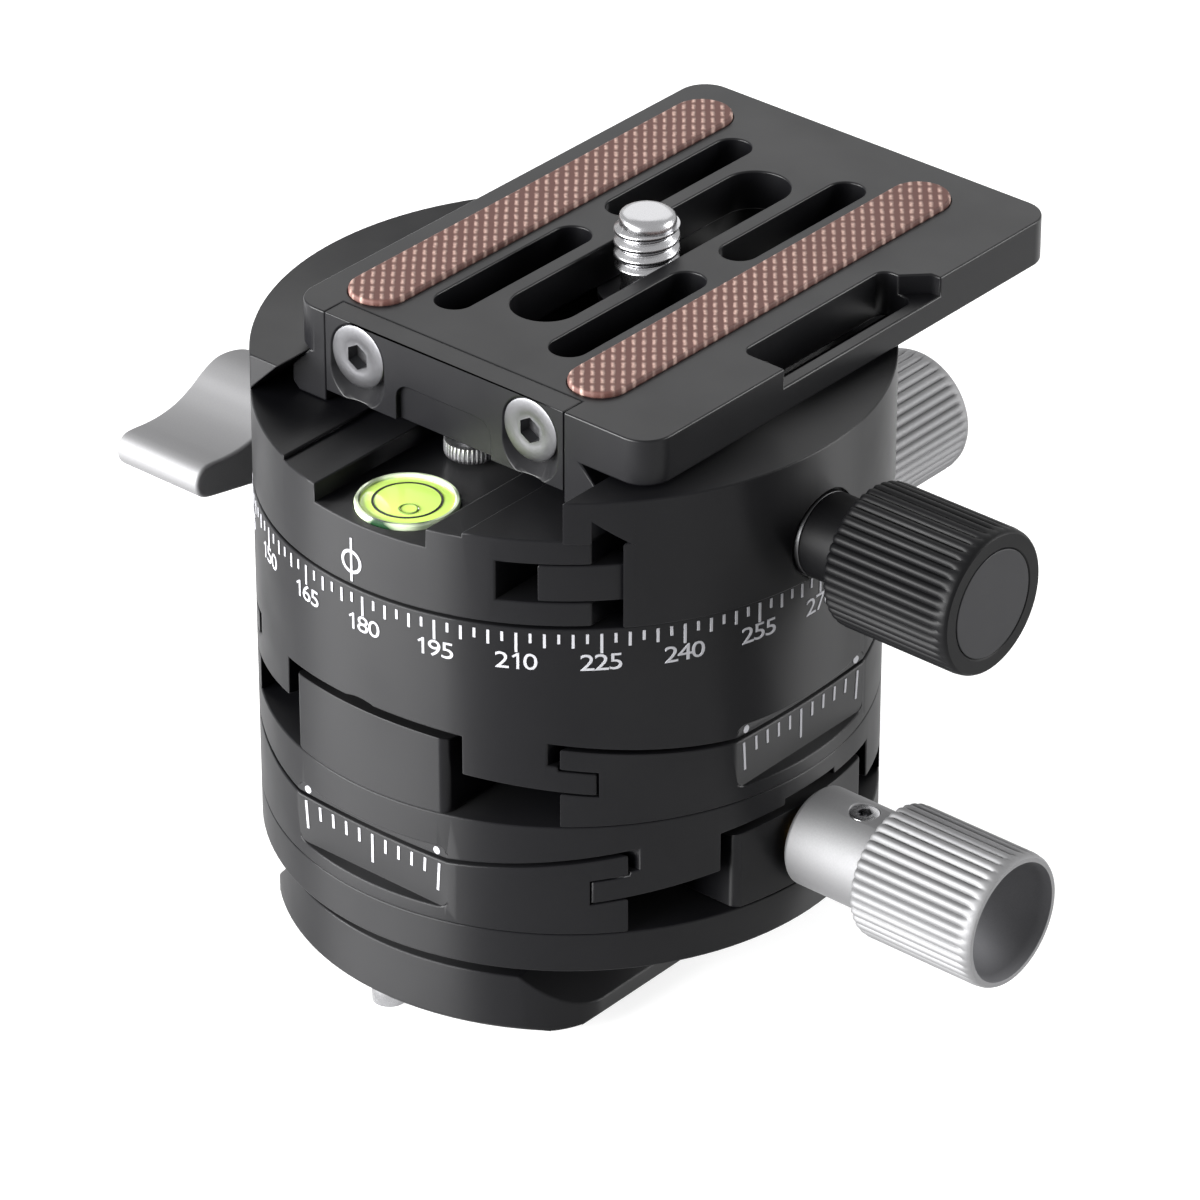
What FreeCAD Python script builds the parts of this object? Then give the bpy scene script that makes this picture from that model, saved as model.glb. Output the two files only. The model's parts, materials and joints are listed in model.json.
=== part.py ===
import FreeCAD, Part
import Sketcher
import math
import os
from types import SimpleNamespace

# Two-axis geared levelling head for a tripod, with a panning clamp and a camera plate.
# Z is the pan axis, with zero at the mouth of the tripod thread in the underside of the foot.
# X points to the clamp knob and the lower tilt knob, and Y points away from the plate's stopper.
# Each tilt stage is drawn once, in a frame whose X is the direction in which the carriage slides
# and whose zero height is the seat of its rails. The upper stage is the same stage turned by 90.

SIZES = {
    # Outer drum, shared by the discs, rails, drum and clamp
    "body_radius": 30.0,
    "part_gap": 0.3,
    "fit_gap": 0.05,
    # Foot: a round plate whose two sides are a clamp dovetail
    "foot_radius": 28.7,
    "foot_rim_height": 6.3,
    "foot_neck_step": 1.9,
    "foot_corner": 10.0,
    "foot_height": 8.0,
    "foot_tip_half": 19.0,
    "foot_neck_half": 14.7,
    "foot_land": 2.0,
    "foot_edge": 0.5,
    "bush_radius": 6.5,
    "tripod_bore_radius": 4.0,
    "tripod_relief_radius": 4.9,
    "tripod_relief_depth": 2.0,
    "foot_screw_circle": 20.5,
    "foot_screw_head": 2.6,
    "foot_screw_shank": 1.5,
    "foot_screw_sink": 1.6,
    "foot_screw_length": 10.0,
    "stop_screw_inset": 2.1,
    "stop_head_radius": 1.7,
    "stop_head_height": 1.7,
    "stop_shank_radius": 1.25,
    "stop_shank_depth": 5.0,
    "stop_face_radius": 2.3,
    "stop_face_depth": 0.2,
    # Tilt stages
    "disc_height": 4.15,
    "stage_rise": 11.9,
    "worm_height": 4.75,
    "rack_radius": 120.0,
    "gear_module": 0.8,
    "tilt_limit": 5.0,
    "rail_width": 11.2,
    "rail_gap": 0.15,
    "tongue_reach": 2.5,
    "tongue_bottom": 1.65,
    "tongue_top": 3.95,
    "arc_gap": 0.12,
    "seam_height": 6.25,
    "seam_gap": 0.4,
    "relief_depth": 0.75,
    "relief_bottom": 4.4,
    "scale_flat_half": 9.3,
    "scale_flat_bottom": 1.5,
    "scale_flat_top": 8.2,
    "scale_flat_corner": 1.0,
    "housing_half": 9.4,
    "housing_corner": 1.1,
    "housing_height": 4.85,
    "channel_half": 10.85,
    "channel_height": 5.65,
    "slot_half": 3.6,
    "deep_slot_height": 8.0,
    "deep_slot_half": 16.5,
    "slot_height": 6.3,
    "arch_start": 20.0,
    "arch_radius": 4.95,
    # Worm, its bearings and the rack
    "worm_pitch_radius": 2.0,
    "worm_half_length": 4.6,
    "worm_neck_radius": 1.0,
    "worm_neck_end": 9.0,
    "worm_step_radius": 1.5,
    "worm_step_end": 14.0,
    "shaft_radius": 2.0,
    "journal_radius": 0.6,
    "journal_end": 8.6,
    "rib_start": 5.9,
    "rib_end": 8.9,
    "rib_half": 2.2,
    "rib_height": 5.8,
    "boss_radius": 2.95,
    "boss_length": 7.3,
    "bearing_radius": 2.6,
    "bearing_flange_radius": 3.4,
    "bearing_flange": 0.9,
    "bearing_inset": 0.7,
    "rack_half_width": 3.0,
    "rack_margin": 2.4,
    "rack_back": 8.8,
    "tooth_backlash": 0.1,
    # Stage knobs
    "knob_gap": 0.4,
    "knob_collar_radius": 5.0,
    "knob_collar_length": 9.3,
    "knob_grip_radius": 6.75,
    "knob_grip_length": 14.3,
    "knob_cup_radius": 5.95,
    "knob_cup_depth": 4.6,
    "knob_bevel": 0.5,
    "knob_flutes": 40.0,
    "flute_half": 0.34,
    "flute_depth": 0.4,
    "grub_inset": 6.0,
    "grub_radius": 1.5,
    # Scale drum and pan bearing
    "drum_rise": 21.45,
    "spindle_radius": 8.0,
    "spindle_rim": 1.0,
    "spindle_groove": 1.0,
    "spindle_groove_half": 1.4,
    "ring_inner": 12.0,
    "ring_inset": 5.0,
    "ring_height": 1.0,
    "pan_screw_radius": 2.0,
    "pan_screw_head": 3.6,
    "pan_screw_head_height": 2.0,
    "pan_screw_length": 11.5,
    # Pan lock lever on the drum
    "lever_drop": 8.55,
    "lever_gap": 3.0,
    "lever_width": 10.8,
    "lever_hub_radius": 5.5,
    "lever_reach": 16.3,
    "lever_tip": 2.7,
    "lever_tip_drop": 0.5,
    "lock_shaft_radius": 2.5,
    "lock_tip_radius": 1.0,
    "lock_collar_radius": 3.8,
    # Clamp body, fixed jaw and moving jaw
    "floor_rise": 9.0,
    "jaw_rise": 13.4,
    "lip_place": 17.2,
    "fixed_jaw_front": 21.6,
    "jaw_thickness": 9.0,
    "jaw_open": 2.2,
    "jaw_wall_gap": 0.3,
    "jaw_shift": 1.1,
    "jaw_end": 21.9,
    "mid_floor_half": 10.7,
    "mid_floor_depth": 0.4,
    "pocket_left": 5.55,
    "pocket_right": 7.6,
    "pocket_back": 3.0,
    "pocket_rise": 6.7,
    "tongue_low": 2.5,
    "tongue_high": 6.5,
    "tongue_inner": 17.5,
    "tongue_end": 17.2,
    "tongue_slot_end": 13.9,
    "clamp_axis_rise": 4.1,
    "clamp_screw_radius": 2.5,
    "clamp_screw_end": 7.5,
    "clamp_head_radius": 4.2,
    "jaw_face_inset": 0.7,
    "washer_radius": 4.2,
    "washer_height": 0.8,
    # Clamp knob
    "clamp_grip_radius": 7.15,
    "clamp_neck_length": 4.0,
    "clamp_grip_length": 15.3,
    "cap_radius": 5.3,
    "cap_height": 0.8,
    # Round level
    "level_x": 1.1,
    "level_y": 24.1,
    "level_radius": 4.95,
    "level_depth": 3.2,
    "level_proud": 0.5,
    "vial_radius": 3.9,
    # Camera plate
    "plate_x": 0.05,
    "plate_y": 12.1,
    "plate_length": 60.0,
    "plate_left": 18.95,
    "plate_right": 24.85,
    "plate_height": 9.55,
    "flange_height": 4.7,
    "dovetail_tip_half": 18.9,
    "dovetail_chamfer": 0.8,
    "plate_corner": 3.0,
    "slot_spacing": 7.05,
    "slot_width": 3.8,
    "front_slot_start": 10.1,
    "front_slot_end": 10.4,
    "back_slot_start": 14.5,
    "back_slot_end": 34.3,
    "screw_slot_width": 6.8,
    "screw_slot_start": 6.7,
    "screw_slot_end": 30.8,
    "counterbore_width": 9.8,
    "counterbore_top": 5.4,
    "strap_inner": 19.7,
    "strap_outer": 23.4,
    "strap_start": 1.4,
    "strap_end": 22.3,
    "strap_corner": 1.2,
    "strap_bar_drop": 2.0,
    "strap_bar_end": 24.5,
    "strip_place": 13.5,
    "strip_width": 6.0,
    "strip_margin": 3.5,
    "strip_recess": 0.3,
    "strip_height": 0.8,
    "safety_inset": 3.9,
    "safety_radius": 2.6,
    "safety_drop": 1.75,
    "safety_shank": 1.0,
    # Anti-twist stopper on the front end of the plate
    "stopper_half": 14.6,
    "stopper_thickness": 2.6,
    "stopper_height": 8.3,
    "stopper_screw_place": 10.6,
    "stopper_screw_drop": 3.4,
    "stopper_head_radius": 3.2,
    "stopper_shank_radius": 1.5,
    "stopper_travel": 1.9,
    "stopper_recess_half": 5.8,
    "stopper_recess_depth": 0.6,
    "stopper_recess_drop": 4.4,
    "stopper_recess_corner": 1.5,
    # Camera screw, a quarter inch by twenty threads
    "camera_screw_radius": 3.15,
    "camera_neck_radius": 2.5,
    "camera_screw_rise": 4.0,
    "camera_screw_y": 11.2,
    "camera_head_radius": 4.7,
    "camera_head_height": 2.0,
    "camera_washer_height": 0.8,
}

DOC = FreeCAD.newDocument("LevellingHead")
SHEET = DOC.addObject("Spreadsheet::Sheet", "Sizes")
NODES = []
X_AXIS = FreeCAD.Vector(1, 0, 0)
Y_AXIS = FreeCAD.Vector(0, 1, 0)
Z_AXIS = FreeCAD.Vector(0, 0, 1)
ALONG_X = FreeCAD.Rotation(Y_AXIS, 90)
ALONG_Y = FreeCAD.Rotation(X_AXIS, -90)
UPRIGHT = FreeCAD.Rotation()


class Size:
    """A number together with the sheet expression that gives it."""

    def __init__(self, value, text):
        self.value = value
        self.text = text

    def join(self, other, sign, value, swap=False):
        texts = [self.text, text_of(other)]
        if swap:
            texts.reverse()
        return Size(value, "(%s %s %s)" % (texts[0], sign, texts[1]))

    def __add__(self, other):
        return self.join(other, "+", self.value + value_of(other))

    def __radd__(self, other):
        return self.join(other, "+", value_of(other) + self.value, True)

    def __sub__(self, other):
        return self.join(other, "-", self.value - value_of(other))

    def __rsub__(self, other):
        return self.join(other, "-", value_of(other) - self.value, True)

    def __mul__(self, other):
        return self.join(other, "*", self.value * value_of(other))

    def __rmul__(self, other):
        return self.join(other, "*", value_of(other) * self.value, True)

    def __truediv__(self, other):
        return self.join(other, "/", self.value / value_of(other))

    def __neg__(self):
        return Size(-self.value, "(0 - %s)" % self.text)


def value_of(size):
    return size.value if isinstance(size, Size) else float(size)


def text_of(size):
    return size.text if isinstance(size, Size) else repr(float(size))


def read_sheet():
    sizes = SimpleNamespace()
    for row, (name, number) in enumerate(SIZES.items(), start=1):
        SHEET.set("A%d" % row, name)
        SHEET.set("B%d" % row, str(number))
        SHEET.setAlias("B%d" % row, name)
    DOC.recompute()
    for name in SIZES:
        setattr(sizes, name, Size(float(SHEET.get(name)), "Sizes." + name))
    return sizes


S = read_sheet()


def bind(item, path, size):
    if isinstance(size, Size):
        item.setExpression(path, size.text)


def place(item, x=0, y=0, z=0, turn=UPRIGHT):
    base = FreeCAD.Vector(value_of(x), value_of(y), value_of(z))
    item.Placement = FreeCAD.Placement(base, turn)
    for path, size in (("x", x), ("y", y), ("z", z)):
        bind(item, "Placement.Base." + path, size)
    return item


def set_size(item, path, size):
    setattr(item, path, value_of(size))
    bind(item, path, size)


def box(name, x0, x1, y0, y1, z0, z1):
    item = DOC.addObject("Part::Box", name)
    set_size(item, "Length", x1 - x0)
    set_size(item, "Width", y1 - y0)
    set_size(item, "Height", z1 - z0)
    return place(item, x0, y0, z0)


def cylinder(name, radius, height, x=0, y=0, z=0, turn=UPRIGHT):
    item = DOC.addObject("Part::Cylinder", name)
    set_size(item, "Radius", radius)
    set_size(item, "Height", height)
    return place(item, x, y, z, turn)


def cone(name, radius1, radius2, height, x=0, y=0, z=0, turn=UPRIGHT):
    item = DOC.addObject("Part::Cone", name)
    set_size(item, "Radius1", radius1)
    set_size(item, "Radius2", radius2)
    set_size(item, "Height", height)
    return place(item, x, y, z, turn)


def cut(name, base, *tools):
    item = DOC.addObject("Part::Cut", name)
    item.Base = base
    item.Tool = tools[0] if len(tools) == 1 else fuse(name + "_tools", *tools)
    return item


def fuse(name, *items):
    item = DOC.addObject("Part::MultiFuse", name)
    item.Shapes = list(items)
    return item


def common(name, *items):
    item = DOC.addObject("Part::MultiCommon", name)
    item.Shapes = list(items)
    return item


def rounded(name, base, radius, axis=Z_AXIS):
    """Round every straight edge of a block that runs along the axis."""
    item = DOC.addObject("Part::Fillet", name)
    item.Base = base
    DOC.recompute()
    size = value_of(radius)
    item.Edges = [(index, size, size) for index, edge in enumerate(base.Shape.Edges, start=1)
                  if edge.Curve.TypeId == "Part::GeomLine" and abs(edge.Curve.Direction.dot(axis)) > 0.99]
    return item


def node(item, label):
    item.Label = label
    NODES.append(item)
    return item


def outline(body, name, role, points):
    """A closed sketch of straight lines, each corner held at its two sizes."""
    sketch = body.newObject("Sketcher::SketchObject", name)
    plane = [item for item in body.Origin.OriginFeatures if item.Role == role][0]
    sketch.AttachmentSupport = [(plane, "")]
    sketch.MapMode = "FlatFace"
    corners = [FreeCAD.Vector(value_of(a), value_of(b), 0) for a, b in points]
    count = len(corners)
    for index, corner in enumerate(corners):
        sketch.addGeometry(Part.LineSegment(corner, corners[(index + 1) % count]), False)
    for index in range(count):
        link = Sketcher.Constraint("Coincident", index, 2, (index + 1) % count, 1)
        sketch.addConstraint(link)
    for index, point in enumerate(points):
        for kind, axis, size in (("DistanceX", -2, point[0]), ("DistanceY", -1, point[1])):
            if abs(value_of(size)) < 1e-9:
                sketch.addConstraint(Sketcher.Constraint("PointOnObject", index, 1, axis))
                continue
            held = Sketcher.Constraint(kind, -1, 1, index, 1, value_of(size))
            number = sketch.addConstraint(held)
            bind(sketch, "Constraints[%d]" % number, size)
    return sketch


def new_body(name):
    return DOC.addObject("PartDesign::Body", name)


def revolved(body, name, points):
    """Turn a profile of radius and height once round the body's Z axis."""
    sketch = outline(body, name + "_profile", "XZ_Plane", points)
    turned = body.newObject("PartDesign::Revolution", name)
    turned.Profile = sketch
    turned.ReferenceAxis = (sketch, ["V_Axis"])
    turned.Angle = 360.0
    return turned


# Heights that several pieces share
lower_seat = S.foot_height + S.disc_height
upper_seat = lower_seat + S.stage_rise
drum_top = upper_seat + S.drum_rise
clamp_base = drum_top + S.part_gap
floor_level = clamp_base + S.floor_rise
jaw_top = clamp_base + S.jaw_rise
plate_base = floor_level + S.fit_gap
plate_top = plate_base + S.plate_height
flange_base = plate_top - S.flange_height
clamp_axis = clamp_base + S.clamp_axis_rise
# Height of the tilt axis over the seat of its rails
pivot = S.worm_height + S.worm_pitch_radius + S.rack_radius
# The rack stays over the whole worm at both ends of the tilt
rack_half_length = S.worm_half_length + S.rack_radius * S.tilt_limit * (math.pi / 180) + S.rack_margin
relief_top = S.seam_height + S.seam_gap
foot_neck_radius = S.foot_radius - S.foot_neck_step
stop_screw_place = S.foot_radius - S.stop_screw_inset
rail_wall = S.body_radius - S.rail_width
bearing_face = S.body_radius - S.bearing_inset
boss_start = bearing_face - S.boss_length
# Knobs are drawn on a Z axis that starts in the middle of the body
knob_start = S.body_radius + S.knob_gap
knob_grip_start = knob_start + S.knob_collar_length
knob_end = knob_grip_start + S.knob_grip_length
grub_place = knob_start + S.grub_inset
jaw_face = S.body_radius + S.jaw_shift - S.jaw_face_inset
grip_start = jaw_face + S.washer_height + S.clamp_neck_length
grip_end = grip_start + S.clamp_grip_length
ring_outer = S.body_radius - S.ring_inset
lever_height = drum_top - S.lever_drop
lever_start = S.body_radius + S.lever_gap
spindle_base = lever_height - S.spindle_groove_half - S.spindle_rim
body_wall = S.body_radius - S.jaw_thickness
strip_length = S.plate_length - 2.0 * S.strip_margin
safety_place = S.plate_length / 2.0 - S.safety_inset
OUTSIDE = 40.0
SEAM_BACK = FreeCAD.Rotation(Z_AXIS, 90)


def seated(item, stage):
    """Put a piece drawn in the stage's frame on its seat, turned for the upper stage."""
    if stage == "lower":
        return place(item, 0, 0, lower_seat)
    return place(item, 0, 0, upper_seat, FreeCAD.Rotation(Z_AXIS, 90))


def arc_drum(name, radius, y0, y1):
    """A wide drum about the tilt axis, used to cut or keep a concentric arc."""
    return cylinder(name, radius, y1 - y0, 0, y0, pivot, ALONG_Y)


def below_arc(name, height, x0, x1, y0, y1, z0):
    """What lies outside the drum that touches a height: a block with an arc-shaped top."""
    block = box(name + "_block", x0, x1, y0, y1, z0, pivot)
    drum = arc_drum(name + "_drum", pivot - height, y0 - 1, y1 + 1)
    return cut(name, block, drum)


def arc_band(name, low, high, y0, y1):
    outer = arc_drum(name + "_outer", pivot - low, y0, y1)
    inner = arc_drum(name + "_inner", pivot - high, y0 - 1, y1 + 1)
    ring = cut(name + "_ring", outer, inner)
    keep = box(name + "_keep", -OUTSIDE, OUTSIDE, y0 - 1, y1 + 1, -1, OUTSIDE)
    return common(name, ring, keep)


def make_foot():
    """A turned disc with a recessed neck, cut to the 38 mm dovetail on two sides."""
    disc = new_body("FootDisc")
    edge = S.foot_edge
    revolved(disc, "FootTurned", [
        (0, 0),
        (S.foot_radius - edge, 0),
        (S.foot_radius, edge),
        (S.foot_radius, S.foot_rim_height),
        (foot_neck_radius, S.foot_rim_height),
        (foot_neck_radius, S.foot_height),
        (0, S.foot_height),
    ])
    plan = box("FootPlanBox", -S.foot_tip_half, S.foot_tip_half, -S.foot_radius, S.foot_radius, 0,
               S.foot_height)
    shaped = common("FootShaped", disc, foot_sides(), rounded("FootPlan", plan, S.foot_corner))
    tools = [cylinder("FootBushHole", S.bush_radius, S.foot_height)]
    tools += screw_circle("FootScrewHole", 0.0)
    for side in (-1, 1):
        y = side * stop_screw_place
        name = "FootStop%d" % (side + 1)
        tools.append(cylinder(name + "Hole", S.stop_shank_radius, S.stop_shank_depth, 0, y, 0))
        tools.append(cylinder(name + "Face", S.stop_face_radius, S.stop_face_depth, 0, y, 0))
    node(cut("FootPlate", shaped, *tools), "foot_plate")


def foot_sides():
    shoulder = S.foot_land + (S.foot_tip_half - S.foot_neck_half)
    half_points = [
        (S.foot_tip_half - S.foot_edge, 0),
        (S.foot_tip_half, S.foot_edge),
        (S.foot_tip_half, S.foot_land),
        (S.foot_neck_half, shoulder),
        (S.foot_neck_half, S.foot_height),
    ]
    body = new_body("FootSides")
    points = half_points + [(-x, z) for x, z in reversed(half_points)]
    sketch = outline(body, "FootSidesProfile", "XZ_Plane", points)
    pad = body.newObject("PartDesign::Pad", "FootSidesPad")
    pad.Profile = sketch
    set_size(pad, "Length", 2.0 * S.body_radius)
    pad.Midplane = True
    return body


def screw_circle(name, gap):
    """Four countersunk shapes on a circle: the holes, or the screws less a gap."""
    shapes = []
    for index in range(4):
        angle = math.radians(45 + 90 * index)
        x = S.foot_screw_circle * math.cos(angle)
        y = S.foot_screw_circle * math.sin(angle)
        head = cone("%sHead%d" % (name, index), S.foot_screw_head - gap, S.foot_screw_shank - gap,
                    S.foot_screw_sink, x, y, 0)
        shank = cylinder("%sShank%d" % (name, index), S.foot_screw_shank - gap,
                         S.foot_screw_length, x, y, 0)
        shapes.append(fuse("%s%d" % (name, index), head, shank))
    return shapes


def make_foot_fittings():
    sleeve = cylinder("TripodBushBlank", S.bush_radius - 0.01, S.foot_height)
    bore = cylinder("TripodBushBore", S.tripod_bore_radius, S.foot_height)
    node(cut("TripodBush", sleeve, bore), "tripod_thread_bush")
    screws = []
    for side in (-1, 1):
        y = side * stop_screw_place
        low = S.stop_face_depth - S.stop_head_height
        head = cylinder("StopHead%d" % (side + 1), S.stop_head_radius, S.stop_head_height, 0, y, low)
        shank = cylinder("StopShank%d" % (side + 1), S.stop_shank_radius - 0.01,
                         S.stop_shank_depth - 0.3 - low, 0, y, low)
        screws.append(fuse("StopScrew%d" % (side + 1), head, shank))
    node(fuse("FootStopScrews", *screws), "foot_stop_screws")
    node(fuse("FootScrews", *screw_circle("FootScrew", 0.01)), "foot_screws")


def make_base_disc():
    disc = cylinder("BaseDiscBlank", S.body_radius, S.disc_height, 0, 0, S.foot_height)
    holes = [cylinder("BaseDiscRelief", S.tripod_relief_radius, S.tripod_relief_depth, 0, 0, S.foot_height)]
    for index in range(4):
        angle = math.radians(45 + 90 * index)
        x = S.foot_screw_circle * math.cos(angle)
        y = S.foot_screw_circle * math.sin(angle)
        depth = S.foot_screw_length - S.foot_height
        holes.append(cylinder("BaseDiscHole%d" % index, S.foot_screw_shank, depth, x, y, S.foot_height))
    node(cut("BaseDisc", disc, *holes), "base_disc")


def make_rail(stage, side):
    """A segment of the body's drum with an arc top and an arc groove in its inner wall."""
    name = "%sRail%s" % (stage.capitalize(), "Front" if side < 0 else "Back")
    blank = cylinder(name + "Blank", S.body_radius, 16)
    if side < 0:
        keep = box(name + "Keep", -OUTSIDE, OUTSIDE, -OUTSIDE, -rail_wall, 0, 16)
        groove_y = (-rail_wall - S.tongue_reach - S.rail_gap, -rail_wall + 1)
    else:
        keep = box(name + "Keep", -OUTSIDE, OUTSIDE, rail_wall, OUTSIDE, 0, 16)
        groove_y = (rail_wall - 1, rail_wall + S.tongue_reach + S.rail_gap)
    segment = common(name + "Segment", blank, keep)
    seam = arc_drum(name + "Seam", pivot - S.seam_height, -OUTSIDE, OUTSIDE)
    groove = arc_band(name + "Groove", S.tongue_bottom - S.arc_gap, S.tongue_top + S.arc_gap, *groove_y)
    tools = [seam, groove]
    if side < 0:
        tools.append(scale_flat(name + "Flat"))
    rail = cut(name, segment, *tools)
    label = "%s_rail_%s" % (stage, "scale" if side < 0 else "plain")
    node(seated(rail, stage), label)


def scale_flat(name):
    """The shallow flat that carries the degree scale, across a rail and the carriage over it."""
    radius = S.body_radius.value
    half = S.scale_flat_half.value
    half_width = S.scale_flat_half + 0.01
    depth = Size(math.sqrt(radius * radius - half * half),
                 "sqrt(Sizes.body_radius ^ 2 - Sizes.scale_flat_half ^ 2)")
    block = box(name + "Block", -half_width, half_width, -OUTSIDE, -depth, S.scale_flat_bottom,
                S.scale_flat_top)
    return rounded(name, block, S.scale_flat_corner, Y_AXIS)


def make_carriage(stage, rise, label, extra=()):
    """The moving part of a stage: arcs, tongues, channel and worm slot below, plain disc above."""
    name = stage.capitalize() + "Carriage"
    blank = cylinder(name + "Blank", S.body_radius, rise)
    under = arc_drum(name + "Under", pivot - S.tongue_bottom, -OUTSIDE, OUTSIDE)
    block = common(name + "Block", blank, under)
    inner = rail_wall - S.rail_gap
    cuts = []
    for side, y0, y1 in (("Front", -OUTSIDE, -inner), ("Back", inner, OUTSIDE)):
        cuts.append(below_arc(name + "Over" + side, relief_top, -OUTSIDE, OUTSIDE, y0, y1, -1))
    for side, y0, y1 in (("Front", -inner - 1, -inner + S.relief_depth),
                         ("Back", inner - S.relief_depth, inner + 1)):
        cuts.append(arc_band(name + "Relief" + side, S.relief_bottom, relief_top, y0, y1))
    body = cut(name + "Body", block, *cuts)
    reach = rail_wall + S.tongue_reach
    tongue = arc_band(name + "TongueBand", S.tongue_bottom, S.tongue_top, -reach, reach)
    trim = cylinder(name + "TongueTrim", S.body_radius, rise)
    tongues = common(name + "Tongues", tongue, trim)
    whole = fuse(name + "Whole", body, tongues)
    hollow = carriage_hollow(name)
    carriage = cut(name, whole, *hollow, scale_flat(name + "Flat"), *extra)
    return node(seated(carriage, stage), label)


def carriage_hollow(name):
    """Channel over the worm housing, slots over worm and shaft, rack pocket and end arch."""
    half = S.slot_half
    deep = S.deep_slot_half
    channel = below_arc(name + "Channel", S.channel_height, -OUTSIDE, OUTSIDE,
                        -S.channel_half, S.channel_half, -1)
    over_worm = below_arc(name + "WormSlot", S.deep_slot_height, -deep, deep, -half, half, -1)
    over_shaft = below_arc(name + "ShaftSlot", S.slot_height, 0, OUTSIDE, -half, half, -1)
    length = rack_half_length + S.fit_gap
    side = S.rack_half_width + S.fit_gap
    pocket = below_arc(name + "Pocket", S.rack_back + S.fit_gap, -length, length, -side, side, -1)
    arch = cylinder(name + "Arch", S.arch_radius, OUTSIDE, -S.arch_start - OUTSIDE, 0, S.worm_height, ALONG_X)
    return [channel, over_worm, over_shaft, pocket, arch]


def make_housing(stage):
    """The fixed block that carries the worm: dished top, bearing boss, far rib and trough."""
    name = stage.capitalize() + "Housing"
    blank = cylinder(name + "Blank", S.body_radius, 12, 0, 0, 0, SEAM_BACK)
    keep = box(name + "Keep", -OUTSIDE, OUTSIDE, -S.housing_half, S.housing_half, 0, 12)
    block = rounded(name + "Block", common(name + "Square", blank, keep), S.housing_corner)
    dish = arc_drum(name + "Dish", pivot - S.housing_height, -OUTSIDE, OUTSIDE)
    dished = cut(name + "Dished", block, dish)
    boss = cylinder(name + "Boss", S.boss_radius, bearing_face - boss_start,
                    boss_start, 0, S.worm_height, ALONG_X)
    rib = box(name + "Rib", -S.rib_end, -S.rib_start, -S.rib_half, S.rib_half, 0, S.rib_height)
    whole = fuse(name + "Whole", dished, boss, rib)
    trough_radius = S.worm_pitch_radius + S.gear_module + 0.4
    trough_end = S.worm_half_length + 1.2
    trough = cylinder(name + "Trough", trough_radius, S.rib_start - 0.1 + trough_end,
                      -S.rib_start + 0.1, 0, S.worm_height, ALONG_X)
    groove = cylinder(name + "Groove", S.shaft_radius + 0.3, OUTSIDE, 0, 0, S.worm_height, ALONG_X)
    seat = cylinder(name + "Seat", S.bearing_radius, OUTSIDE, boss_start, 0, S.worm_height, ALONG_X)
    face = cylinder(name + "Face", S.bearing_flange_radius + 0.05, OUTSIDE, bearing_face, 0,
                    S.worm_height, ALONG_X)
    far = cylinder(name + "Far", S.journal_radius + S.fit_gap, S.rib_end, -S.rib_end - 0.1, 0,
                   S.worm_height, ALONG_X)
    housing = cut(name, whole, trough, groove, seat, face, far)
    node(seated(housing, stage), stage + "_worm_housing")
    ring = cylinder(name + "BushBarrel", S.bearing_radius - 0.01, bearing_face - boss_start,
                    boss_start, 0, S.worm_height, ALONG_X)
    flange = cylinder(name + "BushFlange", S.bearing_flange_radius, S.bearing_flange,
                      bearing_face, 0, S.worm_height, ALONG_X)
    bore = cylinder(name + "BushBore", S.shaft_radius + S.fit_gap, OUTSIDE, boss_start - 1, 0,
                    S.worm_height, ALONG_X)
    bush = cut(name + "Bush", fuse(name + "BushBlank", ring, flange), bore)
    node(seated(bush, stage), stage + "_worm_bush")


def make_worm(stage):
    """Shaft with one helical thread; the thread stands over the middle of the stage."""
    name = stage.capitalize() + "Worm"
    core = new_body(name + "Core")
    end = knob_end - S.knob_cup_depth - 1.5
    points = [
        (0, -S.journal_end),
        (S.journal_radius, -S.journal_end),
        (S.journal_radius, -S.worm_half_length),
        (S.worm_neck_radius, -S.worm_half_length),
        (S.worm_neck_radius, S.worm_neck_end),
        (S.worm_step_radius, S.worm_neck_end),
        (S.worm_step_radius, S.worm_step_end),
        (S.shaft_radius, S.worm_step_end),
        (S.shaft_radius, end),
        (0, end),
    ]
    revolved(core, name + "Turned", points)
    pitch = math.pi * S.gear_module.value
    turns = 2 * S.worm_half_length.value / pitch
    helix = Part.makeHelix(pitch, turns * pitch, S.worm_pitch_radius.value)
    thread = DOC.addObject("Part::Feature", name + "Thread")
    thread.Shape = worm_thread(helix, pitch)
    whole = fuse(name, core, thread)
    turn = FreeCAD.Rotation(Y_AXIS, 90)
    if stage == "lower":
        place(whole, 0, 0, lower_seat + S.worm_height, turn)
    else:
        place(whole, 0, 0, upper_seat + S.worm_height, FreeCAD.Rotation(Z_AXIS, 90).multiply(turn))
    node(whole, stage + "_worm")


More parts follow.
